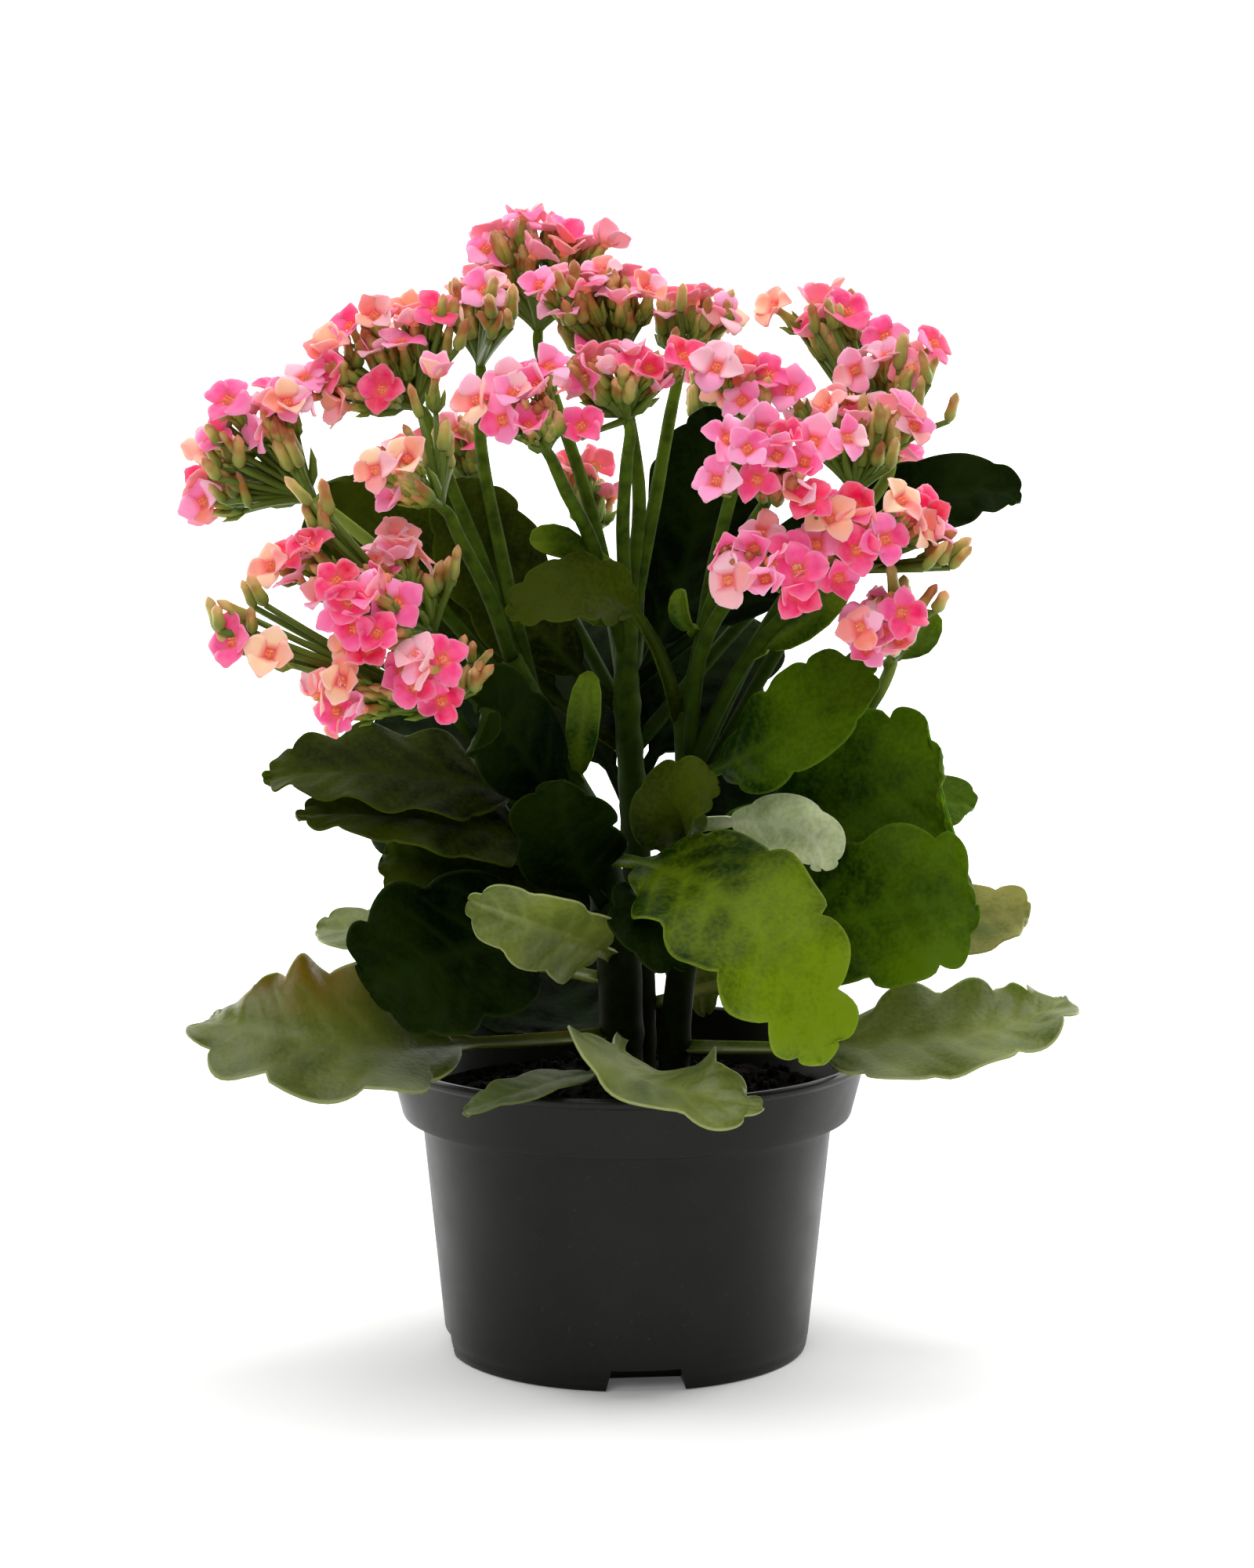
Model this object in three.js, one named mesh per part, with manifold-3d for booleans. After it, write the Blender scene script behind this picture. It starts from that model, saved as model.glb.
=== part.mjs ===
// A flowering kalanchoe in a plastic nursery pot: pot, soil, three branching stems,
// scalloped fleshy leaves and flat-topped heads of four-petalled florets.
// Millimetres, +Z up, the origin at the centre of the pot's underside, -Y towards the viewer.
import * as THREE from 'three';
import { mergeVertices } from 'three/addons/utils/BufferGeometryUtils.js';
import Module from 'manifold-3d';

const wasm = await Module();
wasm.setup();

// Pot
const RIM_RADIUS = 60;
const RIM_LOW_RADIUS = 56;
const RIM_LOW = 59.6;
const POT_HEIGHT = 75;
const FOOT_RADIUS = 45;
const BODY_TOP_RADIUS = 51;
const WALL = 1.6;
const FLOOR = 2;
const LIP = 2.2;
const NOTCH = { count: 4, width: 17, height: 5.5, depth: 13, splay: 1.5, turn: -84, roof: 1.6 };
const DRAIN_RADIUS = 3;
const ROUND_SIDES = 32;

// Soil
const SOIL_EDGE = 62;
const SOIL_MIDDLE = 67;
const STEM_FOOT = 42;

// Clearance between pieces that touch
const GAP = 0.3;

// Leaf: its blade, its stalk, and the parts of its length where the blade
// and then the lobes of its edge start
const BLADE = 1.2;
const LEAF_STALK_HALF_WIDTH = 1.8;
const LEAF_STALK_THICKNESS = 2.4;
const LEAF_STALK_PART = 0.14;
const LOBES_START = 0.22;
const LOBE_DEPTH = 0.11;
const BRACT_CUP = 10;

// Floret, umbel, bud and stalk
const FLORET_RADIUS = 6.8;
const THROAT = 1.1;
const NECK_RADIUS = 1.5;
const NECK_DEPTH = 2.8;
const UMBEL_DROP = 0.22;
const FUNNEL = { rib: 0.86, valley: 0.5, below: 3 };
const FLORET_ROOT = { across: 0.35, outer: 0.55, middle: 0.6 };
const BUD_ROOT = { across: 0.3, rise: 0.36 };
const BUD_AIM = { across: 1.15, rise: 0.8 };
const BUD_LENGTH = 8;
const BUD_RADIUS = 1.7;
const STALK_TIP_RADIUS = 1.25;
const STALK_FOOT_RADIUS = 1.9;
const STALK_STEPS = 4;
const STALK_SIDES = 4;
const STEM_SIDES = 7;

const COLOURS = {
  pot: ['#24211f', 0.42],
  soil: ['#1d140e', 0.95],
  stem: ['#5d7a2c', 0.5],
  leaf: ['#3f6420', 0.4],
  petal: ['#e2688c', 0.55],
};

// Main stems: name, points from the soil up with the radius there
const STEMS = {
  stem_left: [
    [-2, -4, STEM_FOOT, 5.4],
    [-2, -4, 98, 5.2],
    [-5, -4, 117, 4.6],
    [-16, -8, 148, 3.6],
    [-28, -14, 174, 2.6],
  ],
  stem_right: [
    [11, -9, STEM_FOOT, 3.8],
    [12, -9, 82, 3.7],
    [15, -6, 112, 3.3],
    [15, -4, 140, 3.0],
    [14, -3, 160, 2.6],
  ],
  stem_back: [
    [3, 14, STEM_FOOT, 4.2],
    [3, 14, 90, 4.0],
    [2, 12, 130, 3.4],
    [0, 8, 160, 3.0],
    [0, 2, 184, 2.6],
  ],
};

// Small leaves grown in one piece with a stem: stem, foot, middle, tip, width, face
const BRACTS = [
  ['stem_back', [-7.5, -7.5, 197], [-15, -13, 202], [-23, -16, 203], 8, [0, -1, 0.4]],
  ['stem_back', [0, 2, 182], [-6, -4, 188], [-10, -8, 199], 15, [0, -1, 0.2]],
  ['stem_right', [17, -12, 180], [13, -15, 184], [13, -16, 191], 6, [-0.6, -0.8, 0]],
  ['stem_right', [64, -12, 172], [69, -20, 178], [74, -20, 186], 9, [0.5, -0.8, 0.2]],
  ['stem_right', [30, -15, 175.5], [42, -20, 183], [53, -24, 194], 9, [-0.4, -0.9, 0.2]],
  ['stem_left', [-12, -7, 140], [-11, -14, 156], [-9, -16, 171], 8, [0, -1, 0]],
];

// Leaves: stem, height on it, middle of the rib, tip, width, face, lobes a side, cup,
// how much broader the blade is near its foot than near its tip, and the stalk's part
// of the length where it isn't the usual one
const LEAVES = [
  ['stem_left', 138, [-58.4, -18, 147], [-87.5, -20, 146], 29, [0, -0.5, 0.85], 4, 8, 0.35],
  ['stem_left', 124, [-46, -21, 136], [-79, -27, 138], 25, [0, -0.55, 0.83], 4, 6, 0.3],
  ['stem_left', 110, [-41.5, -41, 106.5], [-60.5, -52, 99.4], 38, [-0.2, -0.95, 0.25], 3, 6, 0],
  ['stem_left', 94, [-49, 4, 101.6], [-77.5, 10, 103.7], 22, [0, -0.4, 0.9], 3, 8, 0],
  ['stem_left', 80, [-67, -46, 86], [-98.5, -42, 91.6], 39, [0.1, -0.6, 0.8], 4, 14, 0.3, 0.26],
  ['stem_left', 100, [-16, -42, 111.3], [-37, -52, 121], 20, [0.2, -0.9, -0.2], 3, 20, 0.1],
  ['stem_left', 80, [4, -54, 80.5], [30.6, -68, 75.3], 32, [0.45, -0.6, 0.65], 3, 8, 0.4, 0.2],
  ['stem_left', 72, [-21.3, -58, 78], [-38, -69, 74.7], 12, [0, -0.3, 0.95], 3, 10, 0.2],
  ['stem_back', 96, [14, 18, 98], [20, 22, 80], 15, [0, -0.9, 0.4], 2, 6, 0],
  ['stem_left', 124, [25.5, -50, 118.5], [45.5, -62, 85], 37, [0.25, -0.85, 0.45], 4, 8, 0.15],
  ['stem_right', 106, [60, -12, 136], [76, -16, 146], 43, [-0.1, -0.95, 0.3], 3, 6, -0.1],
  ['stem_right', 100, [58, -33, 115], [83, -38, 118], 38, [0, -0.85, 0.5], 3, 6, -0.1],
  ['stem_back', 128, [63, 26, 133], [88, 28, 132], 18, [0, -0.6, 0.8], 2, 6, 0],
  ['stem_back', 84, [73, 16, 101.4], [101, 15, 106], 25, [0, -0.5, 0.85], 3, 8, 0.1],
  ['stem_right', 78, [76, -30, 84], [105.5, -25, 93.3], 30, [-0.1, -0.55, 0.83], 4, 10, 0.35, 0.24],
  ['stem_right', 144, [38, -26, 158], [57, -28, 176], 26, [-0.5, -0.8, 0.4], 3, 8, 0],
  ['stem_right', 132, [40, -26, 134.5], [47, -30, 125], 15, [0.4, -0.9, 0.1], 2, 8, 0],
  ['stem_right', 112, [6, -36, 116], [15, -46, 105], 21, [0, -0.8, 0.6], 3, 8, 0],
  ['stem_back', 166, [62.3, 16, 206], [96.3, 10, 211], 21, [0, -0.88, 0.45], 4, 8, 0.15],
  ['stem_back', 161, [18, 28, 204], [19, 30, 232], 28, [0.1, -0.95, 0.1], 3, 8, 0],
  ['stem_right', 158, [-2, -22, 189.5], [-28, -28, 186], 18, [0, -0.8, 0.6], 4, 6, 0.1, 0.4],
  ['stem_back', 160, [-30, 8, 190], [-39, 10, 216], 26, [0.1, -0.95, 0.2], 3, 8, 0],
  ['stem_back', 150, [-52, 18, 188], [-74, 16, 214], 36, [0.3, -0.85, 0.4], 3, 8, 0],
  ['stem_back', 100, [-36, 42, 122], [-60, 60, 132], 44, [-0.2, -0.6, 0.8], 2, 8, 0],
  ['stem_back', 106, [38, 46, 134], [60, 66, 148], 40, [0.2, -0.6, 0.8], 2, 8, 0],
  ['stem_back', 74, [-16, 48, 85], [-8, 88, 112], 50, [0, -0.6, 0.8], 2, 8, 0.35],
  ['stem_back', 134, [-16, 46, 164], [-24, 72, 176], 38, [0, -0.7, 0.7], 2, 8, 0],
  ['stem_left', 138, [-42, 20, 149], [-64, 30, 151], 32, [0, -0.6, 0.8], 2, 8, 0],
  ['stem_back', 140, [18, 34, 164], [30, 54, 178], 34, [0.1, -0.8, 0.6], 2, 8, 0],
  ['stem_left', 128, [-28, -24, 156.7], [-35, -34, 165], 24, [0.1, -0.9, 0.3], 2, 8, 0],
  ['stem_left', 106, [-38.5, -16, 122], [-59, -14, 126.5], 30, [0, -0.75, 0.6], 2, 8, 0],
  ['stem_right', 122, [10.4, -26, 139], [21.5, -32, 146], 19, [0, -0.8, 0.5], 3, 8, 0],
  ['stem_left', 112, [-13.6, -23, 130], [-15.7, -31, 146], 26, [-0.1, -0.95, 0.2], 2, 6, 0],
];

// Flower heads: stem, stalk points up to the head's foot, and its umbels, each of
// [fork, top, [half width, half depth], florets, buds]
const HEADS = [
  ['stem_back', [[1, 8, 164], [-9, 16, 208], [-19, 21, 238], [-22, 22, 252]], [
    [[-22, 22, 252], [-21, 21, 279], [18, 10], 7, 2],
  ]],
  ['stem_left', [[-22, -11, 162], [-31, -2, 200], [-36, 7, 226], [-36, 10, 244]], [
    [[-36, 10, 244], [-37.5, 13, 264], [6.8, 6.8], 3, 1],
  ]],
  ['stem_left', [[-25, -12, 168], [-36, 0, 198], [-46, 4, 222], [-51.3, 4, 234]], [
    [[-51.3, 4, 234], [-55.3, 2, 257.5], [11, 8.4], 5, 2],
    [[-51.3, 4, 234], [-78.4, -2, 241.7], [6.8, 6.8], 3, 0],
  ]],
  ['stem_left', [[-19, -9, 154], [-46, -4, 186], [-66, -2, 204], [-76.4, -2, 212]], [
    [[-76.4, -2, 212], [-88, -8, 238], [8, 7.5], 4, 1],
    [[-76.4, -2, 212], [-109.3, 6, 219], [10, 8], 4, 1],
  ]],
  ['stem_left', [[-28, -14, 174], [-33, -23, 190], [-40, -29, 205], [-44, -31, 212]], [
    [[-44, -31, 212], [-56.3, -43, 225], [7, 7], 3, 2],
  ]],
  ['stem_left', [[-16, -8, 148], [-28, -20, 168], [-40, -30, 178], [-46, -34, 182]], [
    [[-46, -34, 182], [-63.7, -66, 191.5], [9.5, 8], 4, 1],
    [[-46, -34, 182], [-79.6, -44, 203], [6.8, 6.8], 3, 1],
    [[-46, -34, 182], [-58, -38, 203], [6.8, 6.8], 3, 0],
  ]],
  ['stem_left', [[-12, -7, 140], [-32, -16, 152], [-40, -30, 161], [-43, -36, 165]], [
    [[-43, -36, 165], [-47.7, -62, 177.6], [6.8, 6.8], 3, 1],
    [[-43, -36, 165], [-72, -54, 170], [6.8, 6.8], 3, 0],
  ]],
  ['stem_back', [[0, 3, 182], [3, 0, 212], [0, -3, 234], [-2, -4, 243]], [
    [[-2, -4, 243], [-8.5, -7, 266.3], [12.5, 9.5], 6, 2],
  ]],
  ['stem_back', [[0, 5, 175], [7, 3, 212], [11, 6, 234], [13, 7, 243]], [
    [[13, 7, 243], [16.5, 10, 259], [8.4, 8.4], 4, 1],
  ]],
  ['stem_back', [[0, 5, 172], [-9, -10, 203], [-15, -22, 216], [-19, -29, 225]], [
    [[-19, -29, 225], [-27.6, -48, 239.6], [9, 8.4], 4, 1],
  ]],
  ['stem_back', [[0, 3, 182], [-1, -8, 206], [0, -14, 222], [0, -17, 232]], [
    [[0, -17, 232], [5, -25, 247], [8.4, 8.4], 4, 1],
    [[0, -17, 232], [-12.7, -19, 245.7], [6.8, 6.8], 3, 0],
  ]],
  ['stem_right', [[15, -4, 152], [20, -4, 190], [26, -8, 216], [29, -12, 229]], [
    [[29, -12, 229], [27.3, -20, 244.6], [8, 7], 4, 1],
  ]],
  ['stem_right', [[15, -5, 136], [38, 4, 176], [58, 4, 208], [64, 5, 222]], [
    [[64, 5, 222], [47, 18, 261.7], [6.8, 6.8], 3, 1],
    [[64, 5, 222], [64, 2, 250.6], [11, 7.5], 5, 2],
  ]],
  ['stem_right', [[14, -3, 157], [20, -14, 186], [28, -28, 205], [33, -36, 215]], [
    [[33, -36, 215], [33.7, -62, 228.7], [12, 9], 6, 1],
  ]],
  ['stem_right', [[15, -4, 142], [32, -8, 178], [49, -14, 204], [55, -12, 214]], [
    [[55, -12, 214], [53.7, -12, 237], [14, 8.4], 6, 2],
  ]],
  ['stem_right', [[15, -4, 148], [18, -16, 176], [25, -30, 191], [30, -40, 197]], [
    [[30, -40, 197], [32, -68, 202.3], [11, 7], 5, 1],
  ]],
  ['stem_right', [[15, -4, 145], [29, -14, 174], [43, -27, 191], [50, -32, 197]], [
    [[50, -32, 197], [51, -58, 210], [10.5, 9], 5, 1],
    [[50, -32, 197], [72.7, -42, 211], [6.8, 6.8], 3, 1],
  ]],
  ['stem_right', [[15, -6, 114], [38, 0, 138], [58, 2, 158], [64, -12, 172], [63, -24, 180]], [
    [[63, -24, 180], [59, -50, 187], [6.8, 6.8], 3, 1],
  ]],
  ['stem_back', [[1, 9, 154], [-18, 28, 186], [-34, 38, 204], [-38, 40, 208]], [
    [[-38, 40, 208], [-46, 50, 228], [6.8, 6.8], 3, 1],
  ]],
  ['stem_back', [[1, 9, 152], [4, 34, 182], [14, 46, 212], [20, 48, 222]], [
    [[20, 48, 222], [24, 58, 243], [6.8, 6.8], 3, 1],
  ]],
  ['stem_back', [[1, 10, 148], [30, 28, 180], [52, 38, 200], [58, 40, 204]], [
    [[58, 40, 204], [68, 50, 220], [7, 7], 3, 1],
  ]],
  ['stem_back', [[1, 10, 150], [-4, 40, 180], [-8, 58, 194], [-9, 60, 198]], [
    [[-9, 60, 198], [-12, 74, 216], [6.8, 6.8], 3, 1],
  ]],
];

const vector = (point) => new THREE.Vector3(point[0], point[1], point[2]);
const radians = THREE.MathUtils.degToRad;

function solid(geometry) {
  const bare = geometry.index ? geometry : geometry.clone();
  bare.deleteAttribute('normal');
  bare.deleteAttribute('uv');
  const merged = mergeVertices(bare, 1e-4);
  return new wasm.Manifold(new wasm.Mesh({
    numProp: 3,
    vertProperties: new Float32Array(merged.attributes.position.array),
    triVerts: new Uint32Array(merged.index.array),
  }));
}

function union(solids) {
  return solids.reduce((whole, piece) => whole.add(piece));
}

function shape(manifold) {
  const mesh = manifold.getMesh();
  const geometry = new THREE.BufferGeometry();
  geometry.setAttribute('position', new THREE.BufferAttribute(mesh.vertProperties, 3));
  geometry.setIndex(new THREE.BufferAttribute(mesh.triVerts, 1));
  geometry.computeVertexNormals();
  return geometry;
}

function closedBody(points, faces) {
  const geometry = new THREE.BufferGeometry();
  const places = points.flatMap((point) => point.toArray());
  geometry.setAttribute('position', new THREE.Float32BufferAttribute(places, 3));
  geometry.setIndex(faces);
  return solid(geometry);
}

// A closed skin over rings of equal length, with a flat cap at each end.
// In the columns that flipped names, the quads are split along their other diagonal.
function skin(rings, flipped = []) {
  const count = rings[0].length;
  const faces = [];
  for (let row = 0; row + 1 < rings.length; row += 1) {
    for (let column = 0; column < count; column += 1) {
      const next = (column + 1) % count;
      const a = row * count + column;
      const b = row * count + next;
      const c = a + count;
      const d = b + count;
      if (flipped.includes(column)) faces.push(a, b, c, b, d, c);
      else faces.push(a, b, d, a, d, c);
    }
  }
  const last = (rings.length - 1) * count;
  for (let column = 1; column + 1 < count; column += 1) {
    faces.push(0, column + 1, column);
    faces.push(last, last + column, last + column + 1);
  }
  return closedBody(rings.flat(), faces);
}

// A round bar along points of [position, radius], its rings square to the bends
function bar(stations, sides) {
  const rings = [];
  let across = null;
  stations.forEach(([centre, radius], index) => {
    const before = stations[Math.max(index - 1, 0)][0];
    const after = stations[Math.min(index + 1, stations.length - 1)][0];
    const along = after.clone().sub(before).normalize();
    if (!across) {
      const start = Math.abs(along.x) < 0.9 ? vector([1, 0, 0]) : vector([0, 1, 0]);
      across = start.cross(along).normalize();
    }
    across = across.clone().addScaledVector(along, -across.dot(along)).normalize();
    const up = along.clone().cross(across);
    const ring = [];
    for (let side = 0; side < sides; side += 1) {
      const angle = (2 * Math.PI * side) / sides;
      ring.push(centre.clone()
        .addScaledVector(across, radius * Math.cos(angle))
        .addScaledVector(up, radius * Math.sin(angle)));
    }
    rings.push(ring);
  });
  return skin(rings);
}

// A tapered bar along a smooth curve through points, from one radius to another
function stalk(points, startRadius, endRadius, steps, sides) {
  const curve = new THREE.CatmullRomCurve3(points);
  const stations = [];
  for (let step = 0; step <= steps; step += 1) {
    const part = step / steps;
    stations.push([curve.getPoint(part), THREE.MathUtils.lerp(startRadius, endRadius, part)]);
  }
  return bar(stations, sides);
}

function lathe(profile, segments) {
  const points = profile.map(([radius, height]) => new THREE.Vector2(radius, height));
  const geometry = new THREE.LatheGeometry(points, segments);
  geometry.rotateX(Math.PI / 2);
  return solid(geometry);
}

function cylinder(radius, bottom, top, x, y, sides) {
  const geometry = new THREE.CylinderGeometry(radius, radius, top - bottom, sides);
  geometry.rotateX(Math.PI / 2);
  geometry.translate(x, y, (top + bottom) / 2);
  return solid(geometry);
}

// The splayed recess under the pot's foot, grown by a margin on its roof and sides
function notchBlock(margin) {
  const half = NOTCH.width / 2 + margin;
  const top = NOTCH.height + margin;
  const outline = new THREE.Shape([
    new THREE.Vector2(-half - NOTCH.splay, -1),
    new THREE.Vector2(half + NOTCH.splay, -1),
    new THREE.Vector2(half, top),
    new THREE.Vector2(-half, top),
  ]);
  const length = NOTCH.depth + 10;
  const geometry = new THREE.ExtrudeGeometry(outline, { depth: length, bevelEnabled: false });
  geometry.rotateX(Math.PI / 2);
  geometry.rotateZ(Math.PI / 2);
  geometry.translate(FOOT_RADIUS - NOTCH.depth - margin, 0, 0);
  return geometry;
}

function notches(margin) {
  const blocks = [];
  for (let index = 0; index < NOTCH.count; index += 1) {
    const geometry = notchBlock(margin);
    geometry.rotateZ(radians(NOTCH.turn + (360 / NOTCH.count) * index));
    blocks.push(solid(geometry));
  }
  return union(blocks);
}

function buildPot() {
  const outside = lathe([
    [0, 0], [FOOT_RADIUS - 1, 0], [FOOT_RADIUS, 1], [BODY_TOP_RADIUS, RIM_LOW],
    [RIM_LOW_RADIUS - 1, RIM_LOW], [RIM_LOW_RADIUS, RIM_LOW + 1], [RIM_RADIUS - 1, POT_HEIGHT - LIP],
    [RIM_RADIUS, POT_HEIGHT - 0.6], [RIM_RADIUS - 0.6, POT_HEIGHT], [0, POT_HEIGHT],
  ], ROUND_SIDES);
  const recesses = notches(NOTCH.roof).intersect(outside);
  const pot = outside.subtract(lathe(hollowProfile(0), ROUND_SIDES)).add(recesses).subtract(notches(0));
  const holes = [];
  for (let index = 0; index < NOTCH.count; index += 1) {
    const angle = radians(NOTCH.turn + (360 / NOTCH.count) * index);
    const reach = FOOT_RADIUS - NOTCH.depth + DRAIN_RADIUS + 1;
    holes.push(cylinder(DRAIN_RADIUS, -2, 12, reach * Math.cos(angle), reach * Math.sin(angle), 12));
  }
  return pot.subtract(union(holes));
}

// The space inside the pot, smaller all round by a margin
function hollowProfile(margin) {
  return [
    [0, FLOOR + margin], [FOOT_RADIUS - WALL - margin, FLOOR + margin],
    [BODY_TOP_RADIUS - WALL - margin, RIM_LOW], [RIM_LOW_RADIUS - WALL - margin, RIM_LOW + WALL],
    [RIM_RADIUS - LIP - margin, POT_HEIGHT + 1], [0, POT_HEIGHT + 1],
  ];
}

// Soil fills the pot, crumbled at its surface, with a plain hole round each stem
function buildSoil() {
  const inner = hollowProfile(GAP).slice(0, 3);
  const edge = RIM_LOW_RADIUS - WALL - GAP;
  const profile = [...inner, [edge, SOIL_EDGE], [30, SOIL_MIDDLE - 1.5], [0, SOIL_MIDDLE]];
  const points = profile.map(([radius, height]) => new THREE.Vector2(radius, height));
  const geometry = new THREE.LatheGeometry(points, ROUND_SIDES);
  geometry.rotateX(Math.PI / 2);
  const places = geometry.attributes.position;
  for (let index = 0; index < places.count; index += 1) {
    const [x, y, z] = [places.getX(index), places.getY(index), places.getZ(index)];
    const crumb = Math.sin(x * 0.31 + 1) * Math.cos(y * 0.27) + 0.6 * Math.sin(y * 0.5 + x * 0.2);
    if (z > SOIL_EDGE + 0.5) places.setZ(index, z + 0.9 * crumb);
  }
  const holes = Object.values(STEMS).map((points) => {
    const [x, y, , radius] = points[0];
    return cylinder(radius + GAP + 0.25, STEM_FOOT - GAP, 90, x, y, 12);
  });
  return solid(geometry).subtract(notches(NOTCH.roof + GAP)).subtract(union(holes));
}

const axisCurves = {};
const axisRadii = {};
for (const [name, points] of Object.entries(STEMS)) {
  axisCurves[name] = new THREE.CatmullRomCurve3(points.map(vector));
  axisRadii[name] = points.map((point) => point[3]);
}

// Centre, direction and radius of a main stem at a height
function stemAt(name, height) {
  const curve = axisCurves[name];
  let low = 0;
  let high = 1;
  for (let step = 0; step < 30; step += 1) {
    const middle = (low + high) / 2;
    if (curve.getPoint(middle).z < height) low = middle;
    else high = middle;
  }
  const radii = axisRadii[name];
  const place = low * (radii.length - 1);
  const below = Math.min(Math.floor(place), radii.length - 2);
  const radius = THREE.MathUtils.lerp(radii[below], radii[below + 1], place - below);
  return { centre: curve.getPoint(low), along: curve.getTangent(low), radius };
}

// A leaf blade's rib is a curve through its foot, middle and tip; a point of the blade
// is found from the part of the rib that it lies along and its distance across.
function bladeMap({ foot, middle, tip, face, cup }) {
  const bend = middle.clone().multiplyScalar(2).addScaledVector(foot, -0.5).addScaledVector(tip, -0.5);
  const rib = new THREE.QuadraticBezierCurve3(foot, bend, tip);
  const lift = Math.tan(radians(cup));
  return (along, across) => {
    const tangent = rib.getTangent(THREE.MathUtils.clamp(along, 0.01, 0.99));
    const side = tangent.clone().cross(face).normalize();
    const normal = side.clone().cross(tangent).normalize();
    const point = rib.getPoint(along)
      .addScaledVector(side, across)
      .addScaledVector(normal, Math.abs(across) * lift);
    return { point, normal };
  };
}

// Half outline of a blade from its foot to its tip: place along the rib and distance
// across at each turn from 0 to 1, with rounded lobes past the smooth foot.
function bladeEdge(turn, halfWidth, length, lobes, taper, stalkPart) {
  const round = (value) => {
    const angle = Math.PI * value;
    return [
      (stalkPart + (1 - stalkPart) * (1 - Math.cos(angle)) / 2) * length,
      halfWidth * Math.sin(angle) ** 0.8 * (1 + taper * Math.cos(angle)),
    ];
  };
  const [along, across] = round(turn);
  const before = round(Math.max(turn - 0.01, 0));
  const after = round(Math.min(turn + 0.01, 1));
  const slope = new THREE.Vector2(after[0] - before[0], after[1] - before[1]).normalize();
  const phase = ((lobes + 0.5) * (turn - LOBES_START)) / (1 - LOBES_START);
  const crest = phase > 0 ? Math.abs(Math.sin(Math.PI * phase)) ** 0.6 - 0.7 : -0.7 * (turn / LOBES_START);
  const push = crest * 2 * halfWidth * LOBE_DEPTH;
  return [(along - push * slope.y) / length, Math.max(across + push * slope.x, 0.5)];
}

// Turns at which the solid blade has a row of points: smooth foot, then three to a lobe
function bladeTurns(lobes) {
  const turns = [0.1];
  const at = (phase) => LOBES_START + (phase * (1 - LOBES_START)) / (lobes + 0.5);
  for (let lobe = 0; lobe < lobes; lobe += 1) turns.push(at(lobe), at(lobe + 0.25), at(lobe + 0.75));
  turns.push(at(lobes), 1);
  return turns;
}

// A blade with its stalk, from the foot of its rib to its tip
function bladeSolid(foot, middle, tip, form) {
  const { width, face, lobes, cup, taper, stalkPart } = form;
  const map = bladeMap({ foot, middle, tip, face: vector(face), cup });
  const length = foot.distanceTo(middle) + middle.distanceTo(tip);
  const rings = [];
  const ring = (ribPart, edgePart, across, thickness) => {
    const top = [map(edgePart, -across), map(ribPart, 0), map(edgePart, across)];
    const upper = top.map(({ point }) => point);
    const sunk = ({ point, normal }) => point.clone().addScaledVector(normal, -thickness);
    const lower = top.map(sunk).reverse();
    rings.push([...upper, ...lower]);
  };
  ring(0, 0, LEAF_STALK_HALF_WIDTH, LEAF_STALK_THICKNESS);
  const neck = stalkPart - LEAF_STALK_PART * 0.2;
  ring(neck, neck, LEAF_STALK_HALF_WIDTH * 0.8, LEAF_STALK_THICKNESS * 0.9);
  for (const turn of bladeTurns(lobes)) {
    const [edgePart, across] = bladeEdge(turn, width / 2, length, lobes, taper, stalkPart);
    const ribPart = stalkPart
      + (1 - stalkPart) * ((1 - Math.cos(Math.PI * turn)) / 2 - 0.1 * Math.sin(Math.PI * turn) ** 2);
    ring(ribPart, edgePart, across, BLADE);
  }
  return skin(rings, [3, 4]);
}

// A leaf's foot stands at its stem's surface on the side of the blade's middle.
// It starts farther out and is moved in until only the gap is left.
const SEATING = { start: 1.5, steps: 4, reach: 5 };
function buildLeaf([stem, height, middle, tip, width, face, lobes, cup, taper, longStalk]) {
  const form = { width, face, lobes, cup, taper, stalkPart: longStalk ?? LEAF_STALK_PART };
  const { centre, along, radius } = stemAt(stem, height);
  const outward = vector(middle).sub(centre);
  outward.addScaledVector(along, -outward.dot(along)).normalize();
  let away = radius + SEATING.start;
  const blade = () => {
    const foot = centre.clone().addScaledVector(outward, away);
    return bladeSolid(foot, vector(middle), vector(tip), form);
  };
  for (let step = 0; step < SEATING.steps; step += 1) {
    away -= blade().minGap(stems[stem], SEATING.reach) - GAP;
  }
  return blade();
}

// A closed body that widens from a foot point through rings of equal length to a top point
function spindle(foot, rings, top) {
  const count = rings[0].length;
  const points = [...rings.flat(), foot, top];
  const last = (rings.length - 1) * count;
  const faces = [];
  for (let index = 0; index < count; index += 1) {
    const next = (index + 1) % count;
    for (let row = 0; row < last; row += count) {
      const above = row + count;
      faces.push(row + index, row + next, above + next);
      faces.push(row + index, above + next, above + index);
    }
    faces.push(next, index, last + count);
    faces.push(last + index, last + next, last + count + 1);
  }
  return closedBody(points, faces);
}

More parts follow.
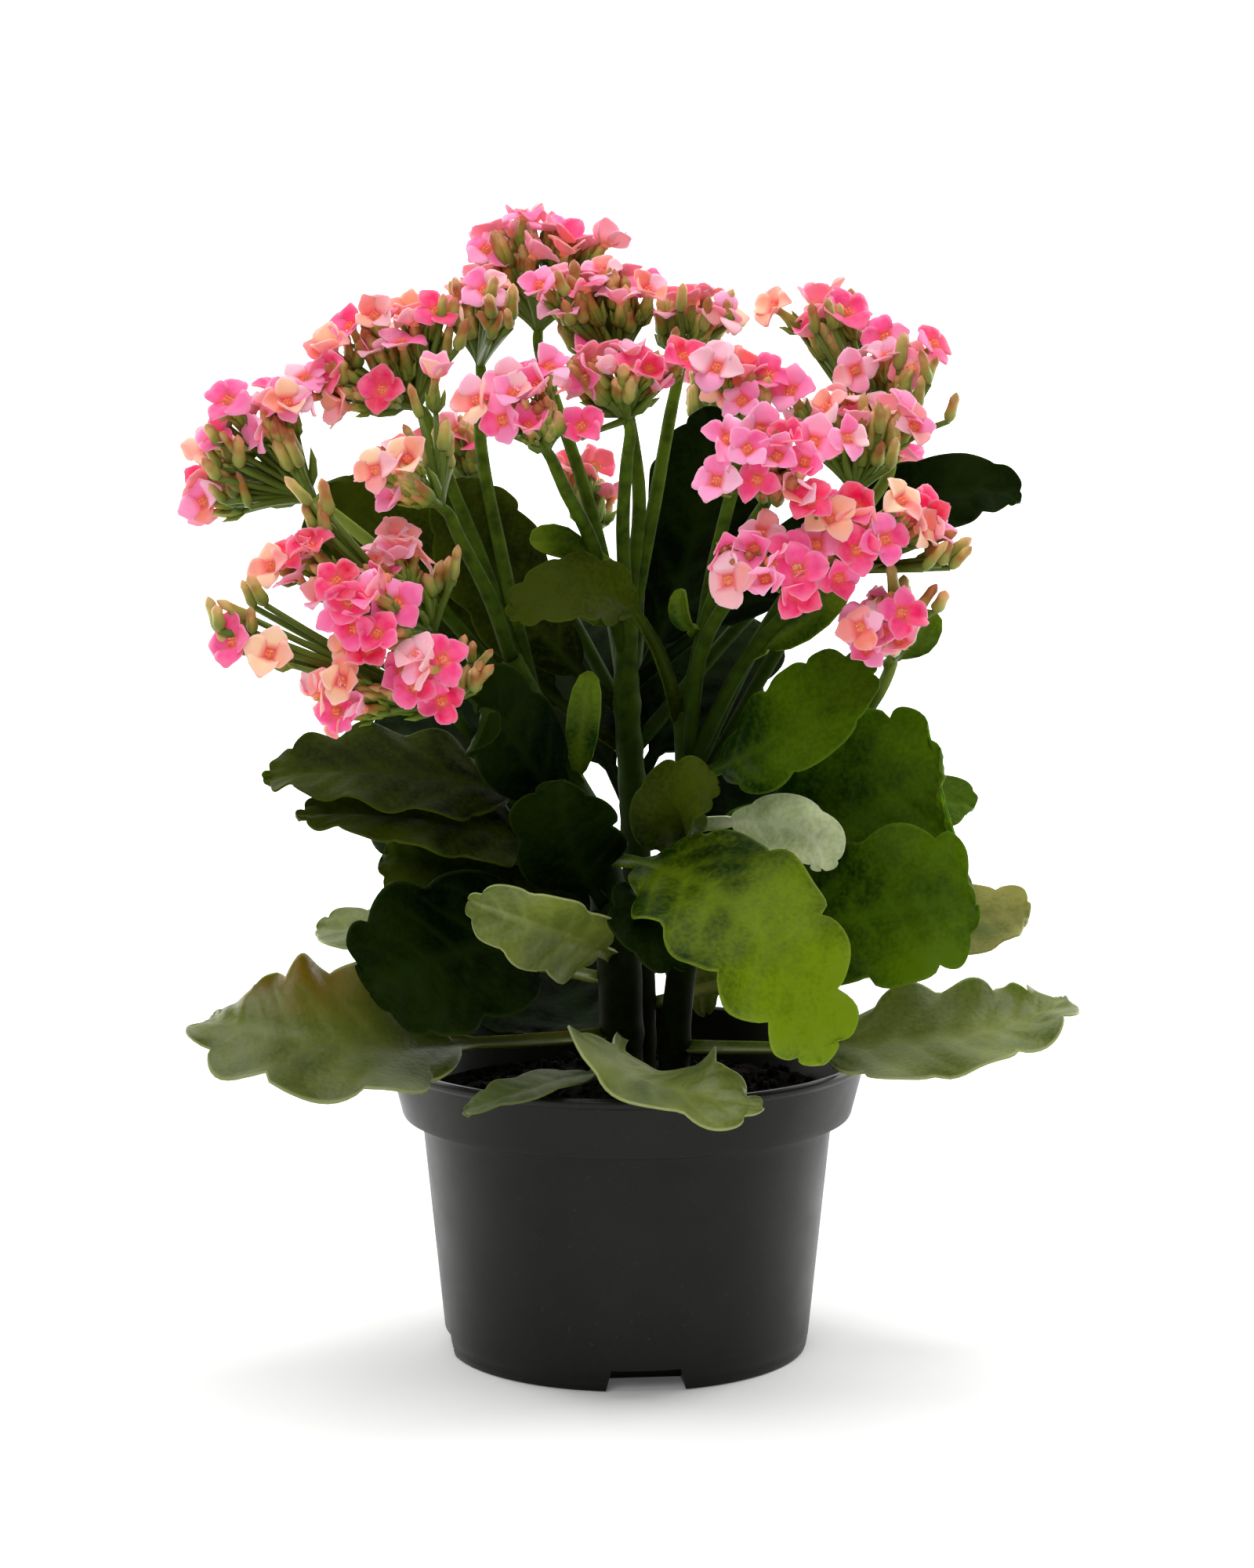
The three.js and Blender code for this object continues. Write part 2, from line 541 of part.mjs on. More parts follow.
// A floret: a star of four petals round a throat, on a four-sided neck that runs into its head.
// One petal lies along the direction called towards.
const PETAL = [[-45, 0.42, 0], [-29, 0.84, 0.05], [0, 1, -0.04], [29, 0.84, 0.05]];
function floret(centre, outward, towards, root) {
  const across = towards.clone().addScaledVector(outward, -towards.dot(outward)).normalize();
  const up = outward.clone().cross(across);
  const at = (angle, radius, rise) => centre.clone()
    .addScaledVector(across, radius * Math.cos(angle))
    .addScaledVector(up, radius * Math.sin(angle))
    .addScaledVector(outward, rise);
  const star = [];
  const neck = [];
  for (let petal = 0; petal < 4; petal += 1) {
    for (const [turn, reach, rise] of PETAL) {
      const angle = (petal * Math.PI) / 2 + radians(turn);
      star.push(at(angle, FLORET_RADIUS * reach, FLORET_RADIUS * rise));
    }
    neck.push(at((petal * Math.PI) / 2, NECK_RADIUS, -NECK_DEPTH));
  }
  const points = [...star, ...neck, at(0, 0, -THROAT), root];
  const faces = [];
  for (let petal = 0; petal < 4; petal += 1) {
    const first = petal * PETAL.length;
    const ring = [0, 1, 2, 3, 4].map((step) => (first + step) % 16);
    const here = 16 + petal;
    const next = 16 + ((petal + 1) % 4);
    for (let step = 0; step < 4; step += 1) {
      faces.push(ring[step], ring[step + 1], 20);
      faces.push(ring[step + 1], ring[step], here);
    }
    faces.push(ring[4], here, next);
    faces.push(next, here, 21);
  }
  return closedBody(points, faces);
}

// A bud is a three-sided spindle
function bud(root, outward) {
  const [across, up] = frameOf(outward);
  const ring = [0, 1, 2].map((side) => root.clone()
    .addScaledVector(outward, BUD_LENGTH * 0.55)
    .addScaledVector(across, BUD_RADIUS * Math.cos((side * 2 * Math.PI) / 3))
    .addScaledVector(up, BUD_RADIUS * Math.sin((side * 2 * Math.PI) / 3)));
  return spindle(root, [ring], root.clone().addScaledVector(outward, BUD_LENGTH));
}

// Two directions square to an axis: the first runs right for an upright axis
function frameOf(axis) {
  const across = new THREE.Vector3(0, 1, 0).cross(axis);
  if (across.length() < 0.05) across.set(1, 0, 0);
  across.normalize();
  return [across, axis.clone().cross(across).normalize()];
}

// An umbel: a ribbed funnel from its fork up, florets on top of it and buds at its side.
// With more than four florets, one is in the middle and the rest stand round it.
function umbel([fork, top, [wide, deep], florets, buds], order) {
  const start = vector(fork);
  const axis = vector(top).sub(start);
  const height = axis.length();
  axis.normalize();
  const [across, up] = frameOf(axis);
  const at = (angle, part, rise) => start.clone()
    .addScaledVector(across, wide * part * Math.cos(angle))
    .addScaledVector(up, deep * part * Math.sin(angle))
    .addScaledVector(axis, rise);
  const central = florets > 4 ? 1 : 0;
  const round = florets - central;
  const spin = round === 6 ? 0 : Math.PI / 4 + order;
  const rim = height * (1 - UMBEL_DROP);
  const rings = [[], []];
  for (let side = 0; side < round * 2; side += 1) {
    const angle = spin + (Math.PI * side) / round;
    rings[0].push(at(angle, STALK_TIP_RADIUS / Math.max(wide, deep), 0));
    rings[1].push(at(angle, side % 2 === 0 ? FUNNEL.rib : FUNNEL.valley, rim - FUNNEL.below));
  }
  const bodies = [spindle(at(0, 0, -0.2), rings, at(0, 0, height - NECK_DEPTH))];
  for (let index = 0; index < florets; index += 1) {
    const middle = index >= round;
    const angle = spin + (2 * Math.PI * index) / round;
    const centre = middle ? at(0, 0, height) : at(angle, 1, rim);
    const outward = centre.clone().sub(start).normalize().lerp(axis, 0.3).normalize();
    const towards = middle ? at(spin + Math.PI / 4, 1, 0).sub(start) : at(angle, 1, 0).sub(start);
    const root = middle
      ? at(0, 0, height * FLORET_ROOT.middle)
      : at(angle, FLORET_ROOT.across, rim * FLORET_ROOT.outer);
    bodies.push(floret(centre, outward, towards, root));
  }
  for (let index = 0; index < buds; index += 1) {
    const angle = spin + Math.PI / round + (2 * Math.PI * index) / buds;
    const root = at(angle, BUD_ROOT.across, height * BUD_ROOT.rise);
    const aim = at(angle, BUD_AIM.across, height * BUD_AIM.rise);
    bodies.push(bud(root, aim.sub(root).normalize()));
  }
  return union(bodies);
}

// A head stands on the last point of its stalk, its foot turned towards its umbels
function headFoot([, points, umbels]) {
  const root = vector(points[points.length - 1]);
  const axis = umbels.reduce((sum, [, top]) => sum.add(vector(top)), new THREE.Vector3())
    .divideScalar(umbels.length).sub(root).normalize();
  return { root, axis };
}

function buildHead([, , umbels]) {
  return union(umbels.map(umbel));
}

// A stem with its stalks, which end a gap short of their heads, and its small leaves
function buildStem(name) {
  const main = axisCurves[name];
  const stations = [];
  const steps = (STEMS[name].length - 1) * 2;
  for (let step = 0; step <= steps; step += 1) {
    const centre = main.getPoint(step / steps);
    stations.push([centre, stemAt(name, centre.z).radius]);
  }
  const bodies = [bar(stations, STEM_SIDES)];
  for (const head of HEADS.filter(([stem]) => stem === name)) {
    const { root, axis } = headFoot(head);
    const points = head[1].slice(0, -1).map(vector);
    const stop = head[2].length > 1 ? GAP + 0.5 : GAP;
    points.push(root.clone().addScaledVector(axis, -3), root.clone().addScaledVector(axis, -stop));
    bodies.push(stalk(points, STALK_FOOT_RADIUS, STALK_TIP_RADIUS, STALK_STEPS, STALK_SIDES));
  }
  for (const [, foot, middle, tip, width, face] of BRACTS.filter(([stem]) => stem === name)) {
    const form = { width, face, lobes: 0, cup: BRACT_CUP, taper: 0, stalkPart: LEAF_STALK_PART };
    bodies.push(bladeSolid(vector(foot), vector(middle), vector(tip), form));
  }
  return union(bodies);
}

function piece(name, body, look) {
  const [color, roughness] = COLOURS[look];
  const material = new THREE.MeshStandardMaterial({ color, roughness, metalness: 0 });
  const mesh = new THREE.Mesh(shape(body), material);
  mesh.name = name;
  return mesh;
}

const stems = {};
for (const name of Object.keys(STEMS)) stems[name] = buildStem(name);

const plant = new THREE.Group();
plant.add(piece('pot', buildPot(), 'pot'));
plant.add(piece('soil', buildSoil(), 'soil'));
for (const [name, body] of Object.entries(stems)) plant.add(piece(name, body, 'stem'));
const numbered = (word, index) => `${word}_${String(index + 1).padStart(2, '0')}`;
LEAVES.forEach((leaf, index) => plant.add(piece(numbered('leaf', index), buildLeaf(leaf), 'leaf')));
HEADS.forEach((head, index) => plant.add(piece(numbered('head', index), buildHead(head), 'petal')));

export default plant;
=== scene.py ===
import math

import bpy
import numpy as np
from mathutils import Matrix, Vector


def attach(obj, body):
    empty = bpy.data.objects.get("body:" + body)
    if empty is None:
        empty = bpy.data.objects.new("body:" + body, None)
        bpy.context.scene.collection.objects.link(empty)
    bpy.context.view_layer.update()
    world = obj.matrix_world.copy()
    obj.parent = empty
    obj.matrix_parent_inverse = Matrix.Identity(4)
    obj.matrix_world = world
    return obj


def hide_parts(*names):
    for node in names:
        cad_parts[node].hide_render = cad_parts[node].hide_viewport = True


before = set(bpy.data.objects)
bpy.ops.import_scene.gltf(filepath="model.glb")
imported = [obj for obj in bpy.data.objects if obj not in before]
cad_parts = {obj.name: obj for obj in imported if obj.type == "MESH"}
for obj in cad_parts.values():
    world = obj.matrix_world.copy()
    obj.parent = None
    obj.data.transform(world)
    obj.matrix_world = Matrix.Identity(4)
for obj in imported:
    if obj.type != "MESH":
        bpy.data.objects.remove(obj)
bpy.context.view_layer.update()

MM = 0.001
# The first seed of each sort of piece
SEEDS = {"soil": 12, "stem": 51, "head": 111, "leaf": 211}
FULL = 2 * math.pi
GOLDEN_ANGLE = math.pi * (3 - math.sqrt(5))

# Pot
RIM_RADIUS = 60
RIM_LOW_RADIUS = 56
RIM_LOW = 59.6
POT_HEIGHT = 75
FOOT_RADIUS = 45
BODY_TOP_RADIUS = 51
WALL = 1.6
FLOOR = 2
LIP = 2.2
NOTCH = {"count": 4, "width": 17, "height": 5.5, "depth": 13, "splay": 1.5, "turn": -84, "roof": 1.6}
DRAIN_RADIUS = 3
DRAIN_SIDES = 24
POT_SIDES = 144
AXIS_GAP = 0.02
SHARP_ANGLE = 35

# Soil
SOIL_EDGE = 62
SOIL_MIDDLE = 67
STEM_FOOT = 42
SOIL_SIDES = 180
SOIL_ROWS = 60
SOIL_WAVES = 26
SOIL_GRAIN = 0.22
CRUMBS = 420
CRUMB_SIZES = (0.7, 1.9)

# Stem: rings and sides of its mesh, and the swelling where a leaf grows
STEM_RINGS = 70
STEM_SIDES = 20
NODE_SWELL = 0.35
NODE_REACH = 2.2

# Leaf
BLADE = 1.2
LEAF_STALK_HALF_WIDTH = 1.8
LEAF_STALK_THICKNESS = 2.4
LEAF_STALK_PART = 0.14
LOBES_START = 0.22
LOBE_DEPTH = 0.11
LOBE_MEAN = 0.7
LOBE_ROUNDNESS = 0.6
BRACT_CUP = 10
BRACT_WAVE = 0.4
BRACT_FINENESS = 0.7

# Flower heads
PETAL_LENGTH = 6.1
PETAL_HALF_WIDTH = 3.3
PETAL_THICKNESS = 0.5
PETAL_ROWS = 8
PETAL_COLUMNS = 7
PETALS = 4
TUBE = 9.5
CANOPY_HALF_WIDTH = 103
STALK_TIP_RADIUS = 1.25
STALK_FOOT_RADIUS = 1.9
STALK_RINGS = 22
STALK_SIDES = 10
FLOWER_AREA = 66
FEWEST_FLOWERS = 6
BUDS_PER_FLOWER = 5.2
# How far the petals rise, in radians, how often each comes, and from where a flower is shut
OPENINGS = [0.05, 0.28, 0.5, 0.8, 1.15]
OPENING_SHARES = [0.13, 0.2, 0.24, 0.25, 0.18]
SHUT = 0.7
BUD_LENGTHS = (6.5, 10.5)
BUD_RADII = (1.2, 1.85)
PLAIN_TONES = (0.3, 0.5, 0.7)

# Studio: camera in metres and degrees, lights by place, target, size in metres and power in
# watts, and a sheet of paper in millimetres
CAMERA_PLACE = (0, -1.0, 0.2817)
CAMERA_TILT = 7.98
LENS = 94.04
SENSOR = 36
LIGHTS = {
    "back_left": ((-1.15, 0.75, 0.75), (0, 0, 0.14), (0.9, 1.3), 13),
    "back_right": ((1.15, 0.75, 0.75), (0, 0, 0.14), (0.9, 1.3), 15),
    "top": ((0.0, -0.15, 1.6), (0, 0, 0.1), (1.4, 1.2), 16),
    "front": ((-0.4, -1.9, 1.5), (0, 0, 0.16), (1.4, 1.0), 13),
}
WORLD_STRENGTH = 0.1
SHEET_HALF_WIDTH = 4200
SHEET_FRONT = -2600
SHEET_BEND = 900
SHEET_TOP = 3600

# Main stems: points from the soil up, with the radius there
STEMS = {
    "left": [(-2, -4, STEM_FOOT, 5.4), (-2, -4, 98, 5.2), (-5, -4, 117, 4.6), (-16, -8, 148, 3.6),
             (-28, -14, 174, 2.6)],
    "right": [(11, -9, STEM_FOOT, 3.8), (12, -9, 82, 3.7), (15, -6, 112, 3.3), (15, -4, 140, 3.0),
              (14, -3, 160, 2.6)],
    "back": [(3, 14, STEM_FOOT, 4.2), (3, 14, 90, 4.0), (2, 12, 130, 3.4), (0, 8, 160, 3.0),
             (0, 2, 184, 2.6)],
}

# Small leaves on a stem: stem, foot, middle, tip, width, face
BRACTS = [
    ("back", (-7.5, -7.5, 197), (-15, -13, 202), (-23, -16, 203), 8, (0, -1, 0.4)),
    ("back", (0, 2, 182), (-6, -4, 188), (-10, -8, 199), 15, (0, -1, 0.2)),
    ("right", (17, -12, 180), (13, -15, 184), (13, -16, 191), 6, (-0.6, -0.8, 0)),
    ("right", (64, -12, 172), (69, -20, 178), (74, -20, 186), 9, (0.5, -0.8, 0.2)),
    ("right", (30, -15, 175.5), (42, -20, 183), (53, -24, 194), 9, (-0.4, -0.9, 0.2)),
    ("left", (-12, -7, 140), (-11, -14, 156), (-9, -16, 171), 8, (0, -1, 0)),
]

# Leaves: stem, height on it, middle, tip, width, face, lobes a side, cup, taper, skin, how much
# the margin waves, and the part of the length that is stalk where it differs
LEAVES = [
    ("left", 138, (-58.4, -18, 147), (-87.5, -20, 146), 29, (0, -0.5, 0.85), 4, 8, 0.35, "olive", 1.6),
    ("left", 124, (-46, -21, 136), (-79, -27, 138), 25, (0, -0.55, 0.83), 4, 6, 0.3, "olive", 1.2),
    ("left", 110, (-41.5, -41, 106.5), (-60.5, -52, 99.4), 38, (-0.2, -0.95, 0.25), 3, 6, 0, "dark", 1.2),
    ("left", 94, (-49, 4, 101.6), (-77.5, 10, 103.7), 22, (0, -0.4, 0.9), 3, 8, 0, "pale", 0.8),
    ("left", 80, (-67, -46, 86), (-98.5, -42, 91.6), 39, (0.1, -0.6, 0.8), 4, 14, 0.3, "mottled", 2.2, 0.26),
    ("left", 100, (-16, -42, 111.3), (-37, -52, 121), 20, (0.2, -0.9, -0.2), 3, 20, 0.1, "pale", 1.6),
    ("left", 80, (4, -54, 80.5), (30.6, -68, 75.3), 32, (0.45, -0.6, 0.65), 3, 8, 0.4, "pale", 1.8, 0.2),
    ("left", 72, (-21.3, -58, 78), (-38, -69, 74.7), 12, (0, -0.3, 0.95), 3, 10, 0.2, "sage", 0.8),
    ("back", 96, (14, 18, 98), (20, 22, 80), 15, (0, -0.9, 0.4), 2, 6, 0, "pale", 0.4),
    ("left", 124, (25.5, -50, 118.5), (45.5, -62, 85), 37, (0.25, -0.85, 0.45), 4, 8, 0.15, "bright", 2.2),
    ("right", 106, (60, -12, 136), (76, -16, 146), 43, (-0.1, -0.95, 0.3), 3, 6, -0.1, "deep", 1.4),
    ("right", 100, (58, -33, 115), (83, -38, 118), 38, (0, -0.85, 0.5), 3, 6, -0.1, "deep", 1.4),
    ("back", 128, (63, 26, 133), (88, 28, 132), 18, (0, -0.6, 0.8), 2, 6, 0, "deep", 0.9),
    ("back", 84, (73, 16, 101.4), (101, 15, 106), 25, (0, -0.5, 0.85), 3, 8, 0.1, "brown", 1.2),
    ("right", 78, (76, -30, 84), (105.5, -25, 93.3), 30, (-0.1, -0.55, 0.83), 4, 10, 0.35, "pale", 2.0, 0.24),
    ("right", 144, (38, -26, 158), (57, -28, 176), 26, (-0.5, -0.8, 0.4), 3, 8, 0, "deep", 1.2),
    ("right", 132, (40, -26, 134.5), (47, -30, 125), 15, (0.4, -0.9, 0.1), 2, 8, 0, "rough", 1.0),
    ("right", 112, (6, -36, 116), (15, -46, 105), 21, (0, -0.8, 0.6), 3, 8, 0, "dark", 1.2),
    ("back", 166, (62.3, 16, 206), (96.3, 10, 211), 21, (0, -0.88, 0.45), 4, 8, 0.15, "dark", 1.2),
    ("back", 161, (18, 28, 204), (19, 30, 232), 28, (0.1, -0.95, 0.1), 3, 8, 0, "dark", 1.0),
    ("right", 158, (-2, -22, 189.5), (-28, -28, 186), 18, (0, -0.8, 0.6), 4, 6, 0.1, "olive", 0.8, 0.4),
    ("back", 160, (-30, 8, 190), (-39, 10, 216), 26, (0.1, -0.95, 0.2), 3, 8, 0, "olive", 1.0),
    ("back", 150, (-52, 18, 188), (-74, 16, 214), 36, (0.3, -0.85, 0.4), 3, 8, 0, "olive", 1.2),
    # leaves at the back of the plant, most in the near-black skin that is painted shade
    ("back", 100, (-36, 42, 122), (-60, 60, 132), 44, (-0.2, -0.6, 0.8), 2, 8, 0, "dark", 1.0),
    ("back", 106, (38, 46, 134), (60, 66, 148), 40, (0.2, -0.6, 0.8), 2, 8, 0, "dark", 1.0),
    ("back", 74, (-16, 48, 85), (-8, 88, 112), 50, (0, -0.6, 0.8), 2, 8, 0.35, "dark", 1.0),
    ("back", 134, (-16, 46, 164), (-24, 72, 176), 38, (0, -0.7, 0.7), 2, 8, 0, "dark", 1.0),
    ("left", 138, (-42, 20, 149), (-64, 30, 151), 32, (0, -0.6, 0.8), 2, 8, 0, "dark", 0.8),
    ("back", 140, (18, 34, 164), (30, 54, 178), 34, (0.1, -0.8, 0.6), 2, 8, 0, "dark", 1.0),
    ("left", 128, (-28, -24, 156.7), (-35, -34, 165), 24, (0.1, -0.9, 0.3), 2, 8, 0, "dark", 1.2),
    ("left", 106, (-38.5, -16, 122), (-59, -14, 126.5), 30, (0, -0.75, 0.6), 2, 8, 0, "olive", 1.0),
    ("right", 122, (10.4, -26, 139), (21.5, -32, 146), 19, (0, -0.8, 0.5), 3, 8, 0, "olive", 1.4),
    ("left", 112, (-13.6, -23, 130), (-15.7, -31, 146), 26, (-0.1, -0.95, 0.2), 2, 6, 0, "dark", 1.0),
]

# Flower heads: stem, stalk points up to the fork, umbels as middle of the top, breadth and depth
HEADS = [
    ("back", [(1, 8, 164), (-9, 16, 208), (-19, 21, 238), (-22, 22, 252)], [((-21, 21, 279), 18, 10)]),
    ("left", [(-22, -11, 162), (-31, -2, 200), (-36, 7, 226), (-36, 10, 244)],
     [((-37.5, 13, 264), 6.8, 6.8)]),
    ("left", [(-25, -12, 168), (-36, 0, 198), (-46, 4, 222), (-51.3, 4, 234)],
     [((-55.3, 2, 257.5), 11, 8.4), ((-78.4, -2, 241.7), 6.8, 6.8)]),
    ("left", [(-19, -9, 154), (-46, -4, 186), (-66, -2, 204), (-76.4, -2, 212)],
     [((-88, -8, 238), 8, 7.5), ((-109.3, 6, 219), 10, 8)]),
    ("left", [(-28, -14, 174), (-33, -23, 190), (-40, -29, 205), (-44, -31, 212)],
     [((-56.3, -43, 225), 7, 7)]),
    ("left", [(-16, -8, 148), (-28, -20, 168), (-40, -30, 178), (-46, -34, 182)],
     [((-63.7, -66, 191.5), 9.5, 8), ((-79.6, -44, 203), 6.8, 6.8), ((-58, -38, 203), 6.8, 6.8)]),
    ("left", [(-12, -7, 140), (-32, -16, 152), (-40, -30, 161), (-43, -36, 165)],
     [((-47.7, -62, 177.6), 6.8, 6.8), ((-72, -54, 170), 6.8, 6.8)]),
    ("back", [(0, 3, 182), (3, 0, 212), (0, -3, 234), (-2, -4, 243)], [((-8.5, -7, 266.3), 12.5, 9.5)]),
    ("back", [(0, 5, 175), (7, 3, 212), (11, 6, 234), (13, 7, 243)], [((16.5, 10, 259), 8.4, 8.4)]),
    ("back", [(0, 5, 172), (-9, -10, 203), (-15, -22, 216), (-19, -29, 225)],
     [((-27.6, -48, 239.6), 9, 8.4)]),
    ("back", [(0, 3, 182), (-1, -8, 206), (0, -14, 222), (0, -17, 232)],
     [((5, -25, 247), 8.4, 8.4), ((-12.7, -19, 245.7), 6.8, 6.8)]),
    ("right", [(15, -4, 152), (20, -4, 190), (26, -8, 216), (29, -12, 229)], [((27.3, -20, 244.6), 8, 7)]),
    ("right", [(15, -5, 136), (38, 4, 176), (58, 4, 208), (64, 5, 222)],
     [((47, 18, 261.7), 6.8, 6.8), ((64, 2, 250.6), 11, 7.5)]),
    ("right", [(14, -3, 157), (20, -14, 186), (28, -28, 205), (33, -36, 215)], [((33.7, -62, 228.7), 12, 9)]),
    ("right", [(15, -4, 142), (32, -8, 178), (49, -14, 204), (55, -12, 214)], [((53.7, -12, 237), 14, 8.4)]),
    ("right", [(15, -4, 148), (18, -16, 176), (25, -30, 191), (30, -40, 197)], [((32, -68, 202.3), 11, 7)]),
    ("right", [(15, -4, 145), (29, -14, 174), (43, -27, 191), (50, -32, 197)],
     [((51, -58, 210), 10.5, 9), ((72.7, -42, 211), 6.8, 6.8)]),
    ("right", [(15, -6, 114), (38, 0, 138), (58, 2, 158), (64, -12, 172), (63, -24, 180)],
     [((59, -50, 187), 6.8, 6.8)]),
    ("back", [(1, 9, 154), (-18, 28, 186), (-34, 38, 204), (-38, 40, 208)], [((-46, 50, 228), 6.8, 6.8)]),
    ("back", [(1, 9, 152), (4, 34, 182), (14, 46, 212), (20, 48, 222)], [((24, 58, 243), 6.8, 6.8)]),
    ("back", [(1, 10, 148), (30, 28, 180), (52, 38, 200), (58, 40, 204)], [((68, 50, 220), 7, 7)]),
    ("back", [(1, 10, 150), (-4, 40, 180), (-8, 58, 194), (-9, 60, 198)], [((-12, 74, 216), 6.8, 6.8)]),
]

# Single flowers and sprays of buds, by head: a flower's place, the way it faces, how far its
# petals rise and its tone, or a spray's place and its number of buds
EXTRAS = {
    2: [((-34.4, -6, 262.2), (0.1, -0.7, 0.7), 0.3, 0.66), ((-32.1, -8, 254.7), 7)],
    3: [
        ((-59, -8, 238.5), (-0.3, -0.8, 0.5), 0.5, 0.12), ((-67.1, 2, 253.3), (-0.4, -0.6, 0.8), 0.5, 0.4),
        ((-71.6, 0, 247.7), (-0.5, -0.6, 0.7), 0.8, 0.9), ((-61, -4, 256.1), (-0.1, -0.8, 0.7), 0.7, 0.84),
        ((-46.2, -4, 257.2), (0.3, -0.7, 0.7), 0.3, 0.2), ((-45.5, -4, 249.3), 7), ((-66.6, -2, 239.8), 7),
    ],
    4: [
        ((-81.6, -14, 235.6), (0.3, -0.8, 0.5), 0.5, 0.95),
        ((-95.8, -12, 236.1), (-0.3, -0.7, 0.6), 0.3, 0.45),
        ((-99.5, -8, 227.5), (-0.4, -0.7, 0.6), 0.5, 0.35),
        ((-102.6, -6, 211.4), (-0.5, -0.8, 0.2), 0.6, 0.75), ((-97.5, -8, 217.2), 8), ((-92.9, -8, 226.8), 7),
    ],
    5: [
        ((-45.4, -24, 242.6), (0.05, -0.15, 1), 1.35, 0.72), ((-45.8, -26, 225), 7),
        ((-58, -52, 222), (-0.4, -0.8, 0.3), 0.3, 0.84),
    ],
    6: [
        ((-66.6, -62, 197.1), (0, -0.8, 0.5), 0.2, 0.1), ((-53.3, -56, 191.5), (0.1, -0.9, 0.4), 0.2, 0.5),
        ((-83.1, -46, 199), (-0.4, -0.8, 0.4), 0.4, 0.92), ((-54.4, -38, 204.6), (0.3, -0.6, 0.7), 0.9, 0.8),
        ((-45.2, -36, 191.1), 7), ((-72.7, -42, 208.9), 5),
    ],
    7: [
        ((-91.1, -56, 182.7), (-0.5, -0.8, 0.3), 0.3, 0.4),
        ((-82.3, -60, 180.1), (-0.2, -0.9, 0.4), 0.4, 0.97), ((-88.6, -54, 185.8), 8),
        ((-38.5, -40, 171.8), 8), ((-59.6, -62, 181.6), (0, -0.9, 0.4), 0.3, 0.15),
        ((-66, -58, 173.8), (-0.1, -1, 0.2), 0.5, 0.98), ((-67.3, -56, 166.6), (-0.1, -1, -0.1), 0.2, 0.35),
    ],
    8: [
        ((-20.6, -16, 263.5), (-0.5, -0.6, 0.6), 0.5, 0.55), ((4.9, -12, 262.3), (0.3, -0.7, 0.7), 0.4, 0.84),
        ((-11.3, -10, 256.6), 9),
    ],
    9: [((23.8, 2, 256.3), (0.6, -0.5, 0.5), 0.3, 0.86), ((17.2, 4, 251), 7)],
    10: [
        ((-34.6, -46, 237.7), (-0.6, -0.6, 0.4), 0.5, 0.84), ((-18.3, -40, 245), (0.2, -0.5, 0.8), 0.6, 0.6),
    ],
    11: [((-10.7, -34, 231), (0.1, -0.9, 0.4), 0.55, 0.3), ((13.4, -22, 246.9), (0.3, -0.7, 0.6), 0.3, 0.12)],
    12: [((21.3, -26, 244.5), (-0.3, -0.8, 0.5), 0.2, 0.66)],
    13: [
        ((36.6, 14, 257.6), (-0.7, -0.4, 0.5), 0.4, 0.95), ((53.7, 8, 256.6), (0.2, -0.7, 0.6), 0.3, 0.3),
        ((74.3, 0, 249.2), (0.5, -0.6, 0.6), 0.3, 0.3), ((71.2, -4, 239.9), 8), ((49.9, 8, 254.3), 6),
    ],
    14: [
        ((20.6, -62, 220.1), (-0.35, -0.85, 0.4), 0.15, 0.62),
        ((50.5, -56, 229.5), (0.5, -0.7, 0.4), 0.3, 0.6),
    ],
    15: [
        ((39.3, -20, 238.7), (-0.3, -0.7, 0.6), 0.4, 0.5), ((68.6, -16, 230.1), (0.5, -0.7, 0.4), 0.5, 0.7),
        ((62, -16, 225.4), 9),
    ],
    16: [
        ((23.3, -66, 197.8), (-0.4, -0.85, 0.2), 0.2, 0.68), ((39.2, -64, 199.8), (0.2, -0.9, 0.3), 0.2, 0.3),
    ],
    17: [
        ((42.1, -60, 215.3), (-0.2, -0.8, 0.5), 0.4, 0.05), ((63.7, -50, 214.6), (0.3, -0.7, 0.6), 0.4, 0.95),
        ((72.9, -40, 199.9), 9),
    ],
    18: [
        ((69.3, -40, 188.8), 8), ((54.1, -56, 186), (-0.4, -0.9, 0.2), 0.2, 0.84),
        ((63.8, -52, 188.9), (0.4, -0.9, 0.3), 0.2, 0.4),
    ],
}

# Tones of petals, by head: 0 deep red, 0.45 pink, 0.7 pale, 0.85 coral, 1 peach
HEAD_TONES = {
    1: (0.45, 0.5, 0.55, 0.7, 0.9), 2: (0.6, 0.7, 0.85), 3: (0.25, 0.5, 0.75, 0.9), 4: (0.4, 0.5, 0.6, 0.9),
    5: (0.6, 0.72, 0.9), 6: (0.1, 0.3, 0.5, 0.7, 0.85), 7: (0.2, 0.45, 0.75), 8: (0.3, 0.45, 0.7, 0.9),
    9: (0.15, 0.4, 0.85), 10: (0.4, 0.5, 0.65, 0.75), 11: (0.3, 0.5, 0.7), 12: (0.4, 0.55, 0.85),
    13: (0.4, 0.5, 0.6, 0.75), 14: (0.35, 0.45, 0.55, 0.65), 15: (0.3, 0.5, 0.8), 16: (0.15, 0.3, 0.5, 0.6),
    17: (0.1, 0.3, 0.5, 0.95), 18: (0.4, 0.55, 0.75),
}


def vec(*numbers):
    return np.array(numbers, float)


def unit(v):
    return v / np.linalg.norm(v)


def lerp(a, b, part):
    return a + (b - a) * part


def toward(angle, across, up):
    """The direction at an angle between two directions."""
    return across * math.cos(angle) + up * math.sin(angle)


def smooth(low, high, value):
    part = np.clip((value - low) / (high - low), 0, 1)
    return part * part * (3 - 2 * part)


